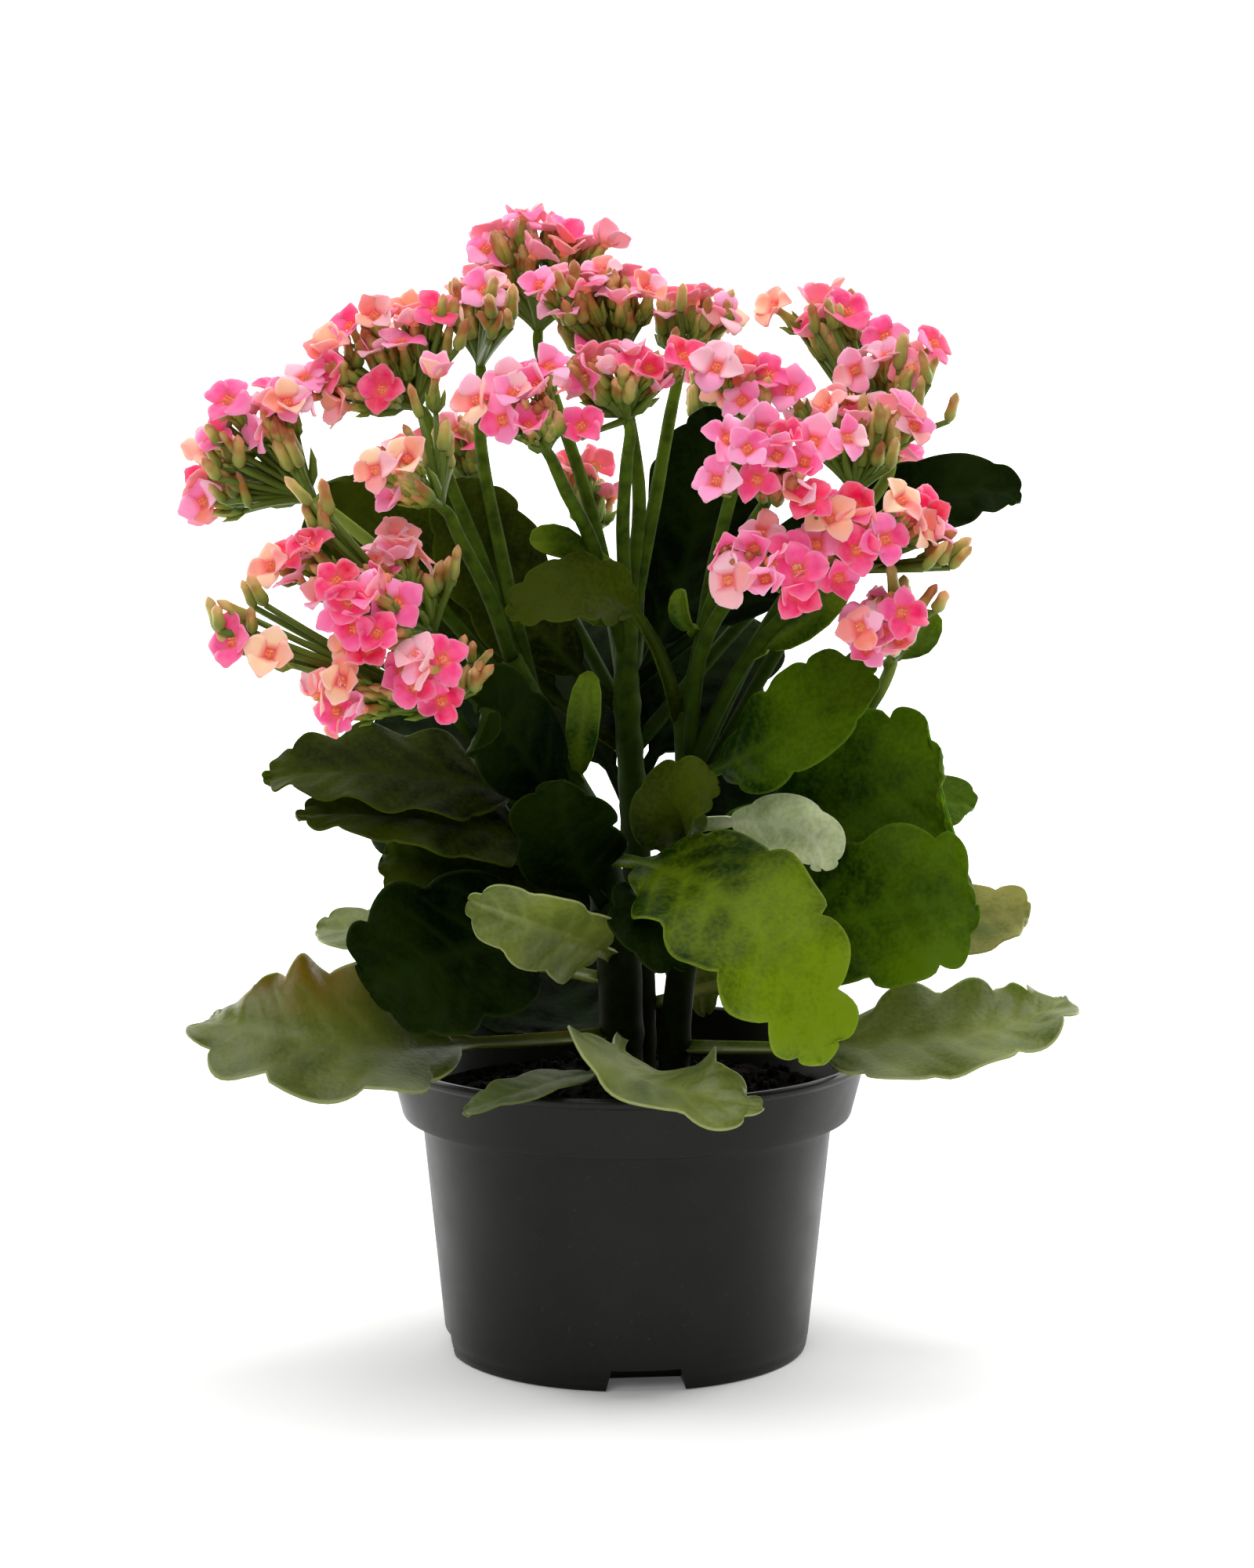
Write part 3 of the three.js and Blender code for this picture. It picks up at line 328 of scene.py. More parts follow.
def linear(red, green, blue):
    """The linear colour of three screen values from 0 to 255."""
    def channel(value):
        value /= 255
        return value / 12.92 if value <= 0.04045 else ((value + 0.055) / 1.055) ** 2.4

    return (channel(red), channel(green), channel(blue), 1)


def put(name, data):
    """A new object in the scene."""
    thing = bpy.data.objects.new(name, data)
    bpy.context.scene.collection.objects.link(thing)
    return thing


class Curve:
    """A centripetal Catmull-Rom curve, as the model's stems and stalks follow."""

    def __init__(self, points):
        self.points = [vec(*point) for point in points]

    def at(self, part):
        points = self.points
        last = len(points) - 1
        place = min(max(part, 0), 1) * last
        index = min(int(place), last - 1)
        weight = place - index
        p1, p2 = points[index], points[index + 1]
        p0 = points[index - 1] if index > 0 else 2 * p1 - p2
        p3 = points[index + 2] if index + 2 <= last else 2 * p2 - p1
        d0, d1, d2 = (max(np.linalg.norm(b - a), 1e-6) ** 0.5 for a, b in ((p0, p1), (p1, p2), (p2, p3)))
        t1 = ((p1 - p0) / d0 - (p2 - p0) / (d0 + d1) + (p2 - p1) / d1) * d1
        t2 = ((p2 - p1) / d1 - (p3 - p1) / (d1 + d2) + (p3 - p2) / d2) * d1
        c2 = 3 * (p2 - p1) - 2 * t1 - t2
        c3 = 2 * (p1 - p2) + t1 + t2
        return p1 + weight * (t1 + weight * (c2 + weight * c3))

    def along(self, part):
        return unit(self.at(min(part + 1e-3, 1)) - self.at(max(part - 1e-3, 0)))


class Skin:
    """Points, faces and values per point of one piece, with a material number per face."""

    def __init__(self):
        self.points = []
        self.faces = []
        self.kinds = []
        self.values = {}
        self.count = 0

    def add(self, points, faces, kind=0, **values):
        points = np.asarray(points, float).reshape(-1, 3)
        for name in {**self.values, **values}:
            column = self.values.setdefault(name, [np.zeros(self.count)] if self.count else [])
            value = np.asarray(values.get(name, 0.0), float).ravel()
            column.append(np.broadcast_to(value, (len(points),)))
        self.points.append(points)
        self.faces += [[int(corner) + self.count for corner in face] for face in faces]
        self.kinds += [kind] * len(faces)
        self.count += len(points)

    def build(self, name, materials):
        mesh = bpy.data.meshes.new(name)
        mesh.from_pydata((np.concatenate(self.points) * MM).tolist(), [], self.faces)
        for material in materials:
            mesh.materials.append(material)
        mesh.polygons.foreach_set("material_index", self.kinds)
        mesh.polygons.foreach_set("use_smooth", [True] * len(self.faces))
        for key, columns in self.values.items():
            attribute = mesh.attributes.new(key, "FLOAT", "POINT")
            attribute.data.foreach_set("value", np.concatenate(columns).astype(np.float32))
        mesh.update()
        return put(name, mesh)


def ring_faces(rows, columns):
    """Quads over rows of closed rings, with a cap at each end."""
    faces = []
    for row in range(rows - 1):
        for column in range(columns):
            a, b = row * columns + column, row * columns + (column + 1) % columns
            faces.append((a, b, b + columns, a + columns))
    last = (rows - 1) * columns
    return faces + [tuple(range(columns - 1, -1, -1)), tuple(range(last, last + columns))]


def ring(radius, height, sides):
    """Points of a level circle round the middle."""
    angles = [FULL * side / sides for side in range(sides)]
    return [(radius * math.cos(angle), radius * math.sin(angle), height) for angle in angles]


def tube(skin, centres, radii, sides, kind=0, ridges=0.0, **values):
    """A round bar through centres, its rings square to the path."""
    centres = np.asarray(centres, float)
    radii = np.broadcast_to(np.asarray(radii, float), (len(centres),))
    across = None
    points = []
    for index, centre in enumerate(centres):
        along = unit(centres[min(index + 1, len(centres) - 1)] - centres[max(index - 1, 0)])
        if across is None:
            start = vec(1, 0, 0) if abs(along[0]) < 0.9 else vec(0, 1, 0)
            across = unit(np.cross(start, along))
        across = unit(across - along * across.dot(along))
        up = np.cross(along, across)
        for side in range(sides):
            angle = FULL * side / sides
            reach = radii[index] * (1 + ridges * math.cos(angle * 4))
            points.append(centre + reach * toward(angle, across, up))
    rows = len(centres)
    spread = {key: np.repeat(np.broadcast_to(value, (rows,)), sides) for key, value in values.items()}
    skin.add(points, ring_faces(rows, sides), kind, **spread)


def basis(axis):
    """Two directions square to an axis: the first runs right for an upright axis."""
    across = np.cross(vec(0, 1, 0), axis)
    if np.linalg.norm(across) < 0.05:
        across = vec(1, 0, 0)
    across = unit(across)
    return across, unit(np.cross(axis, across))


stem_curves = {side: Curve([row[:3] for row in rows]) for side, rows in STEMS.items()}


def stem_at(side, height):
    """Centre, direction and radius of a main stem at a height."""
    curve = stem_curves[side]
    low, high = 0.0, 1.0
    for _ in range(30):
        middle = (low + high) / 2
        if curve.at(middle)[2] < height:
            low = middle
        else:
            high = middle
    radii = [row[3] for row in STEMS[side]]
    place = low * (len(radii) - 1)
    below = min(int(place), len(radii) - 2)
    return curve.at(low), curve.along(low), lerp(radii[below], radii[below + 1], place - below)


# Leaves

def blade_edge(turn, half, length, lobes, depths, taper, stalk_part):
    """Half outline of a blade: place along its rib and distance across, at a turn from 0 to 1."""
    def round_form(value):
        angle = math.pi * min(max(value, 0), 1)
        return vec(
            (stalk_part + (1 - stalk_part) * (1 - math.cos(angle)) / 2) * length,
            half * max(math.sin(angle), 0) ** 0.8 * (1 + taper * math.cos(angle)),
        )

    along, across = round_form(turn)
    slope = unit(round_form(turn + 0.01) - round_form(turn - 0.01))
    phase = (lobes + 0.5) * (turn - LOBES_START) / (1 - LOBES_START)
    if phase > 0:
        swell = abs(math.sin(math.pi * phase)) ** LOBE_ROUNDNESS
        extra = depths[min(int(phase), len(depths) - 1)] - 1
        crest = swell - LOBE_MEAN - extra * (1 - swell) * min(phase, 1)
        crest += 0.07 * math.sin(2.9 * math.pi * phase + depths[0] * 9) * min(phase, 1)
    else:
        crest = -LOBE_MEAN * (turn / LOBES_START)
    push = crest * 2 * half * LOBE_DEPTH
    return (along - push * slope[1]) / length, max(across + push * slope[0], 0.5)


def blade_rows(half, length, lobes, taper, stalk_part, fine, draw):
    """Rows along a blade: places of rib and both edges, both reaches, and whether it is stalk."""
    depths = draw.uniform(0.55, 1.2, (2, lobes + 1))
    rows = [(part, part, part) + 2 * (LEAF_STALK_HALF_WIDTH * (1 - 0.2 * part / stalk_part),) + (1.0,)
            for part in np.linspace(0, stalk_part * 0.85, 4)]
    for turn in np.linspace(0.03, 1, int((12 + 13 * lobes) * fine)):
        left, right = (blade_edge(turn, half, length, lobes, row, taper, stalk_part) for row in depths)
        angle = math.pi * turn
        rib = stalk_part + (1 - stalk_part) * ((1 - math.cos(angle)) / 2 - 0.1 * math.sin(angle) ** 2)
        rows.append((rib, left[0], right[0], left[1], right[1], 0.0))
    return [np.array(column)[:, None] for column in zip(*rows)]


def blade_relief(part, v, across, lobes, slimness, scale, wave, stalk_part, draw):
    """Over a blade's grid: its waves in millimetres, and how strongly a vein or the rib shows."""
    phases = draw.uniform(0, FULL, 4)
    blade_part = smooth(stalk_part * 0.7, stalk_part + 0.1, part)
    lean = np.abs(v) * (0.22 + 0.08 * np.abs(v)) * slimness * 1.6
    place = (part - lean) * (5 + lobes) + 0.3 * np.sign(v)
    nearest = np.abs(place - np.round(place))
    vein = np.exp(-(nearest / (0.09 + 0.05 * (1 - np.abs(v)))) ** 2) * blade_part * (1 - 0.6 * np.abs(v))
    rib = np.exp(-(across / (0.7 + 0.5 * (1 - part))) ** 2) * smooth(0.02, 0.1, part)
    swell = -np.cos(nearest * FULL)
    margin = np.abs(v) ** 2.5 * blade_part
    waved = np.sin(part * (lobes * 2.1) * math.pi + phases[0] + (v > 0) * phases[1]) * margin
    broad = np.sin(part * 4.2 + phases[2]) * np.sin(v * 2.0 + phases[3]) * blade_part
    waves = (wave * waved * scale * 0.9 + wave * broad * scale * 0.8
             + 0.22 * scale * swell * blade_part * (1 - np.abs(v) ** 4))
    return waves, vein, rib


def blade(skin, foot, middle, tip, width, face, lobes, cup, taper, wave, draw, fine=1.0,
          stalk_part=LEAF_STALK_PART):
    """A leaf of one skin: stalk, blade with veins, notched and waved margin."""
    foot, middle, tip, face = (vec(*point) for point in (foot, middle, tip, face))
    bend = 2 * middle - 0.5 * foot - 0.5 * tip
    length = np.linalg.norm(middle - foot) + np.linalg.norm(tip - middle)
    rib_part, left_edge, right_edge, left_reach, right_reach, fleshy = blade_rows(
        width / 2, length, lobes, taper, stalk_part, fine, draw)
    fleshy = np.maximum(fleshy, 1 - smooth(stalk_part * 0.85, stalk_part + 0.16, rib_part))

    # the grid: v runs across from -1 to 1, part along the rib from 0 to 1
    steps = max(int(9 * fine), 5)
    v = np.sin(np.linspace(-1, 1, 2 * steps + 1) * math.pi / 2)
    v = np.where(np.abs(v) < 0.999, v * 0.985, v)[None, :]
    part = lerp(rib_part, np.where(v < 0, left_edge, right_edge), np.abs(v))
    across = np.where(v < 0, left_reach, right_reach) * v
    clamp = np.clip(part, 0.01, 0.99)[..., None]
    tangent = 2 * (1 - clamp) * (bend - foot) + 2 * clamp * (tip - bend)
    tangent /= np.linalg.norm(tangent, axis=-1, keepdims=True)
    side = np.cross(tangent, face)
    side /= np.linalg.norm(side, axis=-1, keepdims=True)
    normal = np.cross(side, tangent)
    at = part[..., None]
    centre = (1 - at) ** 2 * foot + 2 * at * (1 - at) * bend + at ** 2 * tip
    lift = np.abs(across) * math.tan(math.radians(cup))
    surface = centre + side * across[..., None] + normal * lift[..., None]

    waves, vein, rib = blade_relief(part, v, across, lobes, min(width / length, 1), min(width / 36, 1), wave,
                                    stalk_part, draw)
    thick = BLADE * (0.95 - 0.4 * np.abs(v) ** 3)
    stalk_thick = LEAF_STALK_THICKNESS * np.sqrt(np.clip(1 - 0.75 * v ** 2, 0, 1))
    top = waves - 0.35 * rib - 0.16 * vein
    low = waves - lerp(thick, stalk_thick, fleshy) - 0.7 * rib * (1 - fleshy) - 0.25 * vein
    upper = surface + normal * top[..., None]
    lower = surface + normal * low[..., None]
    # the margin's own line of points, a little proud of both faces
    proud = 0.18 * (1 - fleshy)
    left = (upper[:, :1] + lower[:, :1]) / 2 - side[:, :1] * proud[..., None]
    right = (upper[:, -1:] + lower[:, -1:]) / 2 + side[:, -1:] * proud[..., None]
    rings = np.concatenate([upper, right, lower[:, ::-1], left], axis=1)

    def around(above, below, margin):
        line = np.full((len(part), 1), margin)
        return np.concatenate([above, line, below[:, ::-1], line], axis=1)

    ones = np.ones_like(part)
    edge = np.abs(v) * ones
    veins = np.maximum(vein, rib)
    skin.add(rings, ring_faces(len(part), rings.shape[1]),
             along=around(part, part, 0.5), across=around(edge, edge, 1.0), vein=around(veins, veins, 0.0),
             under=around(0 * ones, ones, 0.5), side=around(v * ones, v * ones, 0.0))


def leaf_foot(side, height, middle):
    """Where a leaf's stalk leaves its stem: inside the bark, on the side of the blade."""
    centre, along, radius = stem_at(side, height)
    outward = vec(*middle) - centre
    outward = unit(outward - along * outward.dot(along))
    return centre + outward * (radius * 0.85)


# Materials

class Paint:
    """A material in the making. Colours are screen values from 0 to 255, and a value may be a socket."""

    def __init__(self, name, roughness, specular):
        self.material = bpy.data.materials.new(name)
        self.material.use_nodes = True
        self.tree = self.material.node_tree
        self.shader = self.tree.nodes["Principled BSDF"]
        self.fill(self.shader, {"Roughness": roughness, "Specular IOR Level": specular})

    def fill(self, made, values):
        for key, value in values.items():
            if isinstance(value, bpy.types.NodeSocket):
                self.tree.links.new(value, made.inputs[key])
            else:
                made.inputs[key].default_value = value
        return made

    def node(self, kind, values=None, **settings):
        made = self.tree.nodes.new(kind)
        for key, value in settings.items():
            setattr(made, key, value)
        return self.fill(made, values or {})

    def of_point(self, name):
        return self.node("ShaderNodeAttribute", attribute_name=name).outputs["Fac"]

    def place(self):
        return self.node("ShaderNodeTexCoord").outputs["Object"]

    def noise(self, scale, detail=3.0, roughness=0.5):
        return self.node("ShaderNodeTexNoise", {"Vector": self.place(), "Scale": scale, "Detail": detail,
                                                "Roughness": roughness}).outputs["Fac"]

    def ranged(self, value, low, high, out_low=0.0, out_high=1.0):
        values = {0: value, 1: low, 2: high, 3: out_low, 4: out_high}
        return self.node("ShaderNodeMapRange", values).outputs[0]

    def add(self, first, second, clamp=False):
        return self.node("ShaderNodeMath", {0: first, 1: second}, operation="ADD", use_clamp=clamp).outputs[0]

    def times(self, first, second):
        return self.node("ShaderNodeMath", {0: first, 1: second}, operation="MULTIPLY").outputs[0]

    def mix(self, part, first, second):
        colours = [linear(*colour) if isinstance(colour, tuple) else colour for colour in (first, second)]
        values = {0: part, 6: colours[0], 7: colours[1]}
        return self.node("ShaderNodeMix", values, data_type="RGBA").outputs[2]

    def ramp(self, value, stops):
        made = self.node("ShaderNodeValToRGB", {"Fac": value})
        elements = made.color_ramp.elements
        while len(elements) < len(stops):
            elements.new(0.5)
        for element, (place, colour) in zip(elements, stops):
            element.position = place
            element.color = linear(*colour)
        return made.outputs["Color"]

    def bump(self, height, strength, distance):
        values = {"Height": height, "Strength": strength, "Distance": distance}
        self.fill(self.shader, {"Normal": self.node("ShaderNodeBump", values).outputs["Normal"]})

    def scatter(self, weight, radii, scale):
        values = {"Subsurface Weight": weight, "Subsurface Radius": radii, "Subsurface Scale": scale}
        self.fill(self.shader, values)

    def finish(self, **values):
        """Sets the shader's last inputs, named here with underscores, and returns the material."""
        self.fill(self.shader, {key.replace("_", " ").title(): value for key, value in values.items()})
        return self.material


def leaf_material(name, deep, light, under, vein, rim, roughness, subsurface, shine, tone_and_foot_shade_grade=0.4, patch=None):
    """Leaf skin: mottled from deep to light, darker at the foot (partly painted shade) and lighter towards
    the tip, lighter on its veins, with a painted highlight at its rim.
    """
    paint = Paint(name, roughness, shine)
    fine = paint.noise(900)
    mottle = paint.ranged(paint.noise(55, 4), 0.3, 0.7)
    mottle = paint.add(mottle, paint.ranged(fine, 0.35, 0.65, -0.15, 0.15), clamp=True)
    # the grade darkens the foot and lightens the tip: partly the leaf's own tone, partly painted shade near
    # the stems
    reach = paint.ranged(paint.of_point("along"), 0.2, 0.92, -tone_and_foot_shade_grade, tone_and_foot_shade_grade)
    colour = paint.mix(paint.add(mottle, reach, clamp=True), deep, light)
    if patch:
        spots = paint.ranged(paint.noise(38), 0.42, 0.6)
        colour = paint.mix(paint.times(paint.ranged(paint.of_point("side"), 0.15, 0.7), spots), colour, patch)
    colour = paint.mix(paint.times(paint.of_point("vein"), 0.45), colour, vein)
    # a painted highlight along the margin, stronger on shinier skins
    colour = paint.mix(paint.ranged(paint.of_point("across"), 0.95, 1.0, 0.0, 0.22 + shine), colour, rim)
    lower = paint.mix(paint.ranged(fine, 0.3, 0.7, 0.0, 0.35), under, vein)
    cells = paint.node("ShaderNodeTexVoronoi", {"Vector": paint.place(), "Scale": 700.0}).outputs["Distance"]
    paint.bump(paint.add(paint.times(cells, 0.5), fine), 0.35, 0.0003)
    paint.scatter(subsurface, (0.4, 1.0, 0.15), 0.002)
    return paint.finish(base_color=paint.mix(paint.of_point("under"), colour, lower),
                        roughness=paint.ranged(fine, 0.3, 0.7, roughness - 0.08, roughness + 0.1))


# Leaf skins: colours (deep, light, under, vein, painted rim highlight), roughness, subsurface,
# shine, how much darker the foot and lighter the tip are (partly painted shade), and a patch's colour
LEAF_SKINS = {
    "olive": ((17, 26, 1), (62, 74, 8), (60, 74, 10), (62, 78, 12), (88, 98, 30), 0.42, 0.1, 0.04),
    # the leaves' own dark green made near black as painted shade, for leaves inside and at the back of the
    # plant
    "dark": ((3, 11, 1), (22, 36, 3), (38, 54, 12), (30, 48, 8), (60, 78, 26), 0.4, 0.05, 0.02),
    "deep": ((16, 42, 0), (78, 106, 5), (70, 96, 14), (80, 112, 12), (108, 130, 38), 0.42, 0.15, 0.04),
    # the pale skin: partly the leaves' own paler green, partly painted sheen from the light on the lower
    # leaves
    "pale": ((78, 93, 28), (126, 137, 54), (118, 130, 60), (146, 157, 82), (184, 190, 128),
             0.38, 0.1, 0.38, 0),
    "sage": ((48, 58, 20), (76, 88, 36), (84, 94, 44), (92, 104, 54), (120, 130, 78), 0.46, 0.1, 0.15, 0),
    "mottled": ((66, 78, 16), (100, 111, 38), (100, 111, 44), (120, 130, 60), (176, 184, 120),
                0.36, 0.1, 0.36, 0, (118, 94, 4)),
    # the bright skin's strong grade from a dark foot to a bright tip is partly painted shade and painted
    # light shining through
    "bright": ((24, 48, 1), (115, 140, 8), (120, 142, 26), (122, 148, 20), (150, 166, 58),
               0.44, 0.2, 0.1, 0.6),
    "fresh": ((22, 50, 1), (92, 114, 16), (92, 110, 30), (96, 118, 26), (132, 150, 60), 0.4, 0.15, 0.06),
    "brown": ((66, 86, 14), (146, 142, 60), (132, 132, 56), (148, 146, 72), (156, 152, 98), 0.46, 0.1, 0.2),
    # this skin's near-white green is partly a paler leaf, mostly painted sheen
    "rough": ((150, 168, 106), (226, 236, 184), (206, 216, 164), (236, 240, 208), (240, 244, 216),
              0.5, 0.08, 0.4, 0),
}
LEAF_MATERIALS = {name: leaf_material("leaf_" + name, *row) for name, row in LEAF_SKINS.items()}


def petal_material():
    paint = Paint("petal", 0.5, 0.15)
    colour = paint.ramp(paint.of_point("tone"), [
        (0.0, (224, 10, 62)), (0.22, (244, 40, 114)), (0.44, (250, 92, 160)), (0.62, (252, 158, 202)),
        (0.74, (250, 198, 208)), (0.85, (246, 124, 104)), (1.0, (254, 208, 168)),
    ])
    along = paint.of_point("along")
    # the paler tint towards the petal tip and at its edges is a painted highlight; the deeper pink near the
    # foot is partly the petal's own colour, partly painted shade
    for share, tint in (
        (paint.ranged(along, 0.55, 1.0, 0.0, 0.26), (254, 200, 220)),
        (paint.ranged(paint.of_point("across"), 0.7, 1.0, 0.0, 0.26), (254, 212, 226)),
        (paint.ranged(along, 0.34, 0.05), (240, 84, 104)),
        (paint.ranged(along, 0.14, 0.0), (244, 150, 92)),
        (paint.times(paint.of_point("under"), 0.45), (250, 178, 172)),
        (paint.ranged(paint.noise(420), 0.35, 0.7, 0.0, 0.15), (254, 190, 204)),
    ):
        colour = paint.mix(share, colour, tint)
    paint.bump(paint.noise(1600, 2), 0.25, 0.0002)
    paint.scatter(0.3, (1.0, 0.35, 0.4), 0.002)
    # the petals glow faintly in their own colour: painted light that stands in for light through the petals
    # in shade
    return paint.finish(base_color=colour, emission_color=colour, emission_strength=0.1, sheen_weight=0.08)


def green_material(name, stops, roughness, shine, speckle, sunlit, red_blush_and_shade):
    """Stalks, calyces and buds: a colour by place along the piece, with blotches, a painted sunlit colour by
    tone, and red blotches that are partly the plant's own blush, partly painted shade.
    """
    paint = Paint(name, roughness, shine)
    body = paint.ramp(paint.of_point("along"), stops)
    tinted = paint.mix(paint.ranged(paint.noise(260, 4), 0.4, 0.68, 0.0, 0.6), body, speckle)
    # painted light: the tone value mixes in the sunlit colour, by distance out from the middle on the stalks
    # and at random on calyces and buds
    light = paint.mix(paint.times(paint.of_point("tone"), 0.5), tinted, sunlit)
    # red-brown blotches on the middle of buds and calyces: partly their own red blush, partly painted shade
    # between the flowers
    red_blush_and_shade_share = paint.times(paint.ranged(paint.noise(110, 2), 0.47, 0.57, 0.0, red_blush_and_shade),
                          paint.ranged(paint.of_point("along"), 0.3, 0.6))
    paint.bump(paint.noise(1100), 0.3, 0.0003)
    paint.scatter(0.15, (0.5, 1.0, 0.2), 0.0015)
    return paint.finish(base_color=paint.mix(red_blush_and_shade_share, light, (160, 44, 22)))


PETAL = petal_material()
CALYX = green_material("calyx", [
    (0.0, (58, 90, 12)), (0.3, (106, 134, 32)), (0.55, (170, 164, 70)), (0.78, (222, 180, 112)),
    (1.0, (240, 158, 132)),
], 0.42, 0.25, (78, 96, 20), (214, 200, 118), 0.62)
STEM = green_material("stem", [
    (0.0, (14, 13, 3)), (0.3, (18, 27, 3)), (0.6, (42, 62, 6)), (1.0, (92, 118, 30)),
], 0.5, 0.03, (24, 36, 5), (176, 196, 88), 0.0)


def pot_material():
    paint = Paint("pot_plastic", 0.34, 0.22)
    colour = paint.mix(paint.ranged(paint.noise(22, 5, 0.6), 0.42, 0.75), (8, 9, 4), (18, 18, 11))
    specks = paint.ranged(paint.noise(620, 2), 0.68, 0.78, 0.0, 0.25)
    paint.bump(paint.noise(2600, 2), 0.12, 0.0002)
    return paint.finish(base_color=paint.mix(specks, colour, (56, 54, 46)),
                        roughness=paint.ranged(paint.noise(60, 4), 0.3, 0.7, 0.3, 0.44))


def soil_material():
    paint = Paint("soil_crumb", 0.95, 0.05)
    # the crumbs' dark brown runs down to near black, partly painted shade for the inside of the pot
    stops = [(0.3, (2, 1, 1)), (0.55, (13, 9, 6)), (0.75, (34, 25, 16))]
    paint.bump(paint.noise(1500, 5, 0.7), 0.9, 0.001)
    return paint.finish(base_color=paint.ramp(paint.noise(420, 5, 0.65), stops))


POT = pot_material()
SOIL = soil_material()


def dress(thing, cad_node):
    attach(thing, "root")
    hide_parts(cad_node)


# Pot

def lathe(name, profile):
    skin = Skin()
    skin.add([point for radius, height in profile for point in ring(radius, height, POT_SIDES)],
             ring_faces(len(profile), POT_SIDES))
    return skin.build(name, [POT])


def notch_turn(index):
    return math.radians(NOTCH["turn"] + 360 / NOTCH["count"] * index)


def notch_block(name, index, margin):
    """The splayed recess under the pot's foot as a closed block."""
    half = NOTCH["width"] / 2 + margin
    top = NOTCH["height"] + margin
    outline = [(-half - NOTCH["splay"], -1), (half + NOTCH["splay"], -1), (half, top), (-half, top)]
    near, far = FOOT_RADIUS - NOTCH["depth"] - margin, FOOT_RADIUS + 10 - margin
    cos, sin = math.cos(notch_turn(index)), math.sin(notch_turn(index))
    skin = Skin()
    skin.add([(x * cos - y * sin, x * sin + y * cos, z) for x in (near, far) for y, z in outline],
             ring_faces(2, 4))
    return skin.build(name, [])


def combine(target, tool, operation):
    modifier = target.modifiers.new("cut", "BOOLEAN")
    modifier.operation = operation
    modifier.solver = "EXACT"
    modifier.object = tool
    graph = bpy.context.evaluated_depsgraph_get()
    mesh = bpy.data.meshes.new_from_object(target.evaluated_get(graph))
    target.modifiers.clear()
    old = target.data
    target.data = mesh
    bpy.data.meshes.remove(old)
    bpy.data.objects.remove(tool, do_unlink=True)


def pot():
    foot, top = FOOT_RADIUS, POT_HEIGHT
    bead = [(foot - 0.9, 0.0), (foot - 0.25, 0.25), (foot, 0.9), (foot + 0.15, 1.8), (foot + 0.12, 2.3),
            (foot + 0.28, 2.5), (foot + 0.28, 3.0)]
    slope = (BODY_TOP_RADIUS - foot) / RIM_LOW
    body = [(foot + slope * height + 0.1, height) for height in np.linspace(3.4, RIM_LOW - 0.8, 24)]
    rim = [
        (BODY_TOP_RADIUS + 0.4, RIM_LOW - 0.2), (BODY_TOP_RADIUS + 1.0, RIM_LOW),
        (RIM_LOW_RADIUS - 1.0, RIM_LOW), (RIM_LOW_RADIUS - 0.3, RIM_LOW + 0.25),
        (RIM_LOW_RADIUS, RIM_LOW + 0.9),
    ]
    rim += [(lerp(RIM_LOW_RADIUS, RIM_RADIUS - 1, part), lerp(RIM_LOW + 1, top - LIP - 0.4, part))
            for part in np.linspace(0.1, 1, 8)]
    rim += [
        (RIM_RADIUS - 0.5, top - LIP), (RIM_RADIUS - 0.1, top - LIP + 0.5), (RIM_RADIUS, top - 1.0),
        (RIM_RADIUS - 0.15, top - 0.4), (RIM_RADIUS - 0.6, top), (RIM_RADIUS - 1.4, top),
        (RIM_RADIUS - LIP + 0.1, top - 0.5),
    ]
    inside = [
        (RIM_RADIUS - LIP - 0.2, top - 2), (RIM_LOW_RADIUS - WALL, RIM_LOW + WALL + 0.4),
        (RIM_LOW_RADIUS - WALL - 1.2, RIM_LOW + WALL - 0.4), (BODY_TOP_RADIUS - WALL, RIM_LOW - 0.6),
        (foot - WALL, FLOOR + 0.5), (foot - WALL - 0.6, FLOOR), (AXIS_GAP, FLOOR),
    ]
    made = lathe("pot_shell", [(AXIS_GAP, 0.0)] + bead + body + rim + inside)
    # the notches' roofs keep inside a core that ends a little within the wall
    wall = [(radius - 0.05, height) for radius, height in bead + body[:8]]
    core = lathe("pot_core", [(AXIS_GAP, 0.02)] + wall + [(AXIS_GAP, body[7][1])])
    for index in range(NOTCH["count"]):
        roof = notch_block("roof", index, NOTCH["roof"])
        combine(roof, put("core_copy", core.data.copy()), "INTERSECT")
        combine(made, roof, "UNION")
    bpy.data.objects.remove(core, do_unlink=True)
    for index in range(NOTCH["count"]):
        combine(made, notch_block("notch", index, 0), "DIFFERENCE")
        angle = notch_turn(index)
        reach = foot - NOTCH["depth"] + DRAIN_RADIUS + 1
        centre = vec(reach * math.cos(angle), reach * math.sin(angle), 0)
        skin = Skin()
        tube(skin, [centre + vec(0, 0, -2), centre + vec(0, 0, 12)], DRAIN_RADIUS, DRAIN_SIDES)
        combine(made, skin.build("drain", []), "DIFFERENCE")
    mesh = made.data
    mesh.materials.clear()
    mesh.materials.append(POT)
    mesh.polygons.foreach_set("material_index", [0] * len(mesh.polygons))
    mesh.polygons.foreach_set("use_smooth", [True] * len(mesh.polygons))
    mesh.set_sharp_from_angle(angle=math.radians(SHARP_ANGLE))
    dress(made, "pot")


# Soil

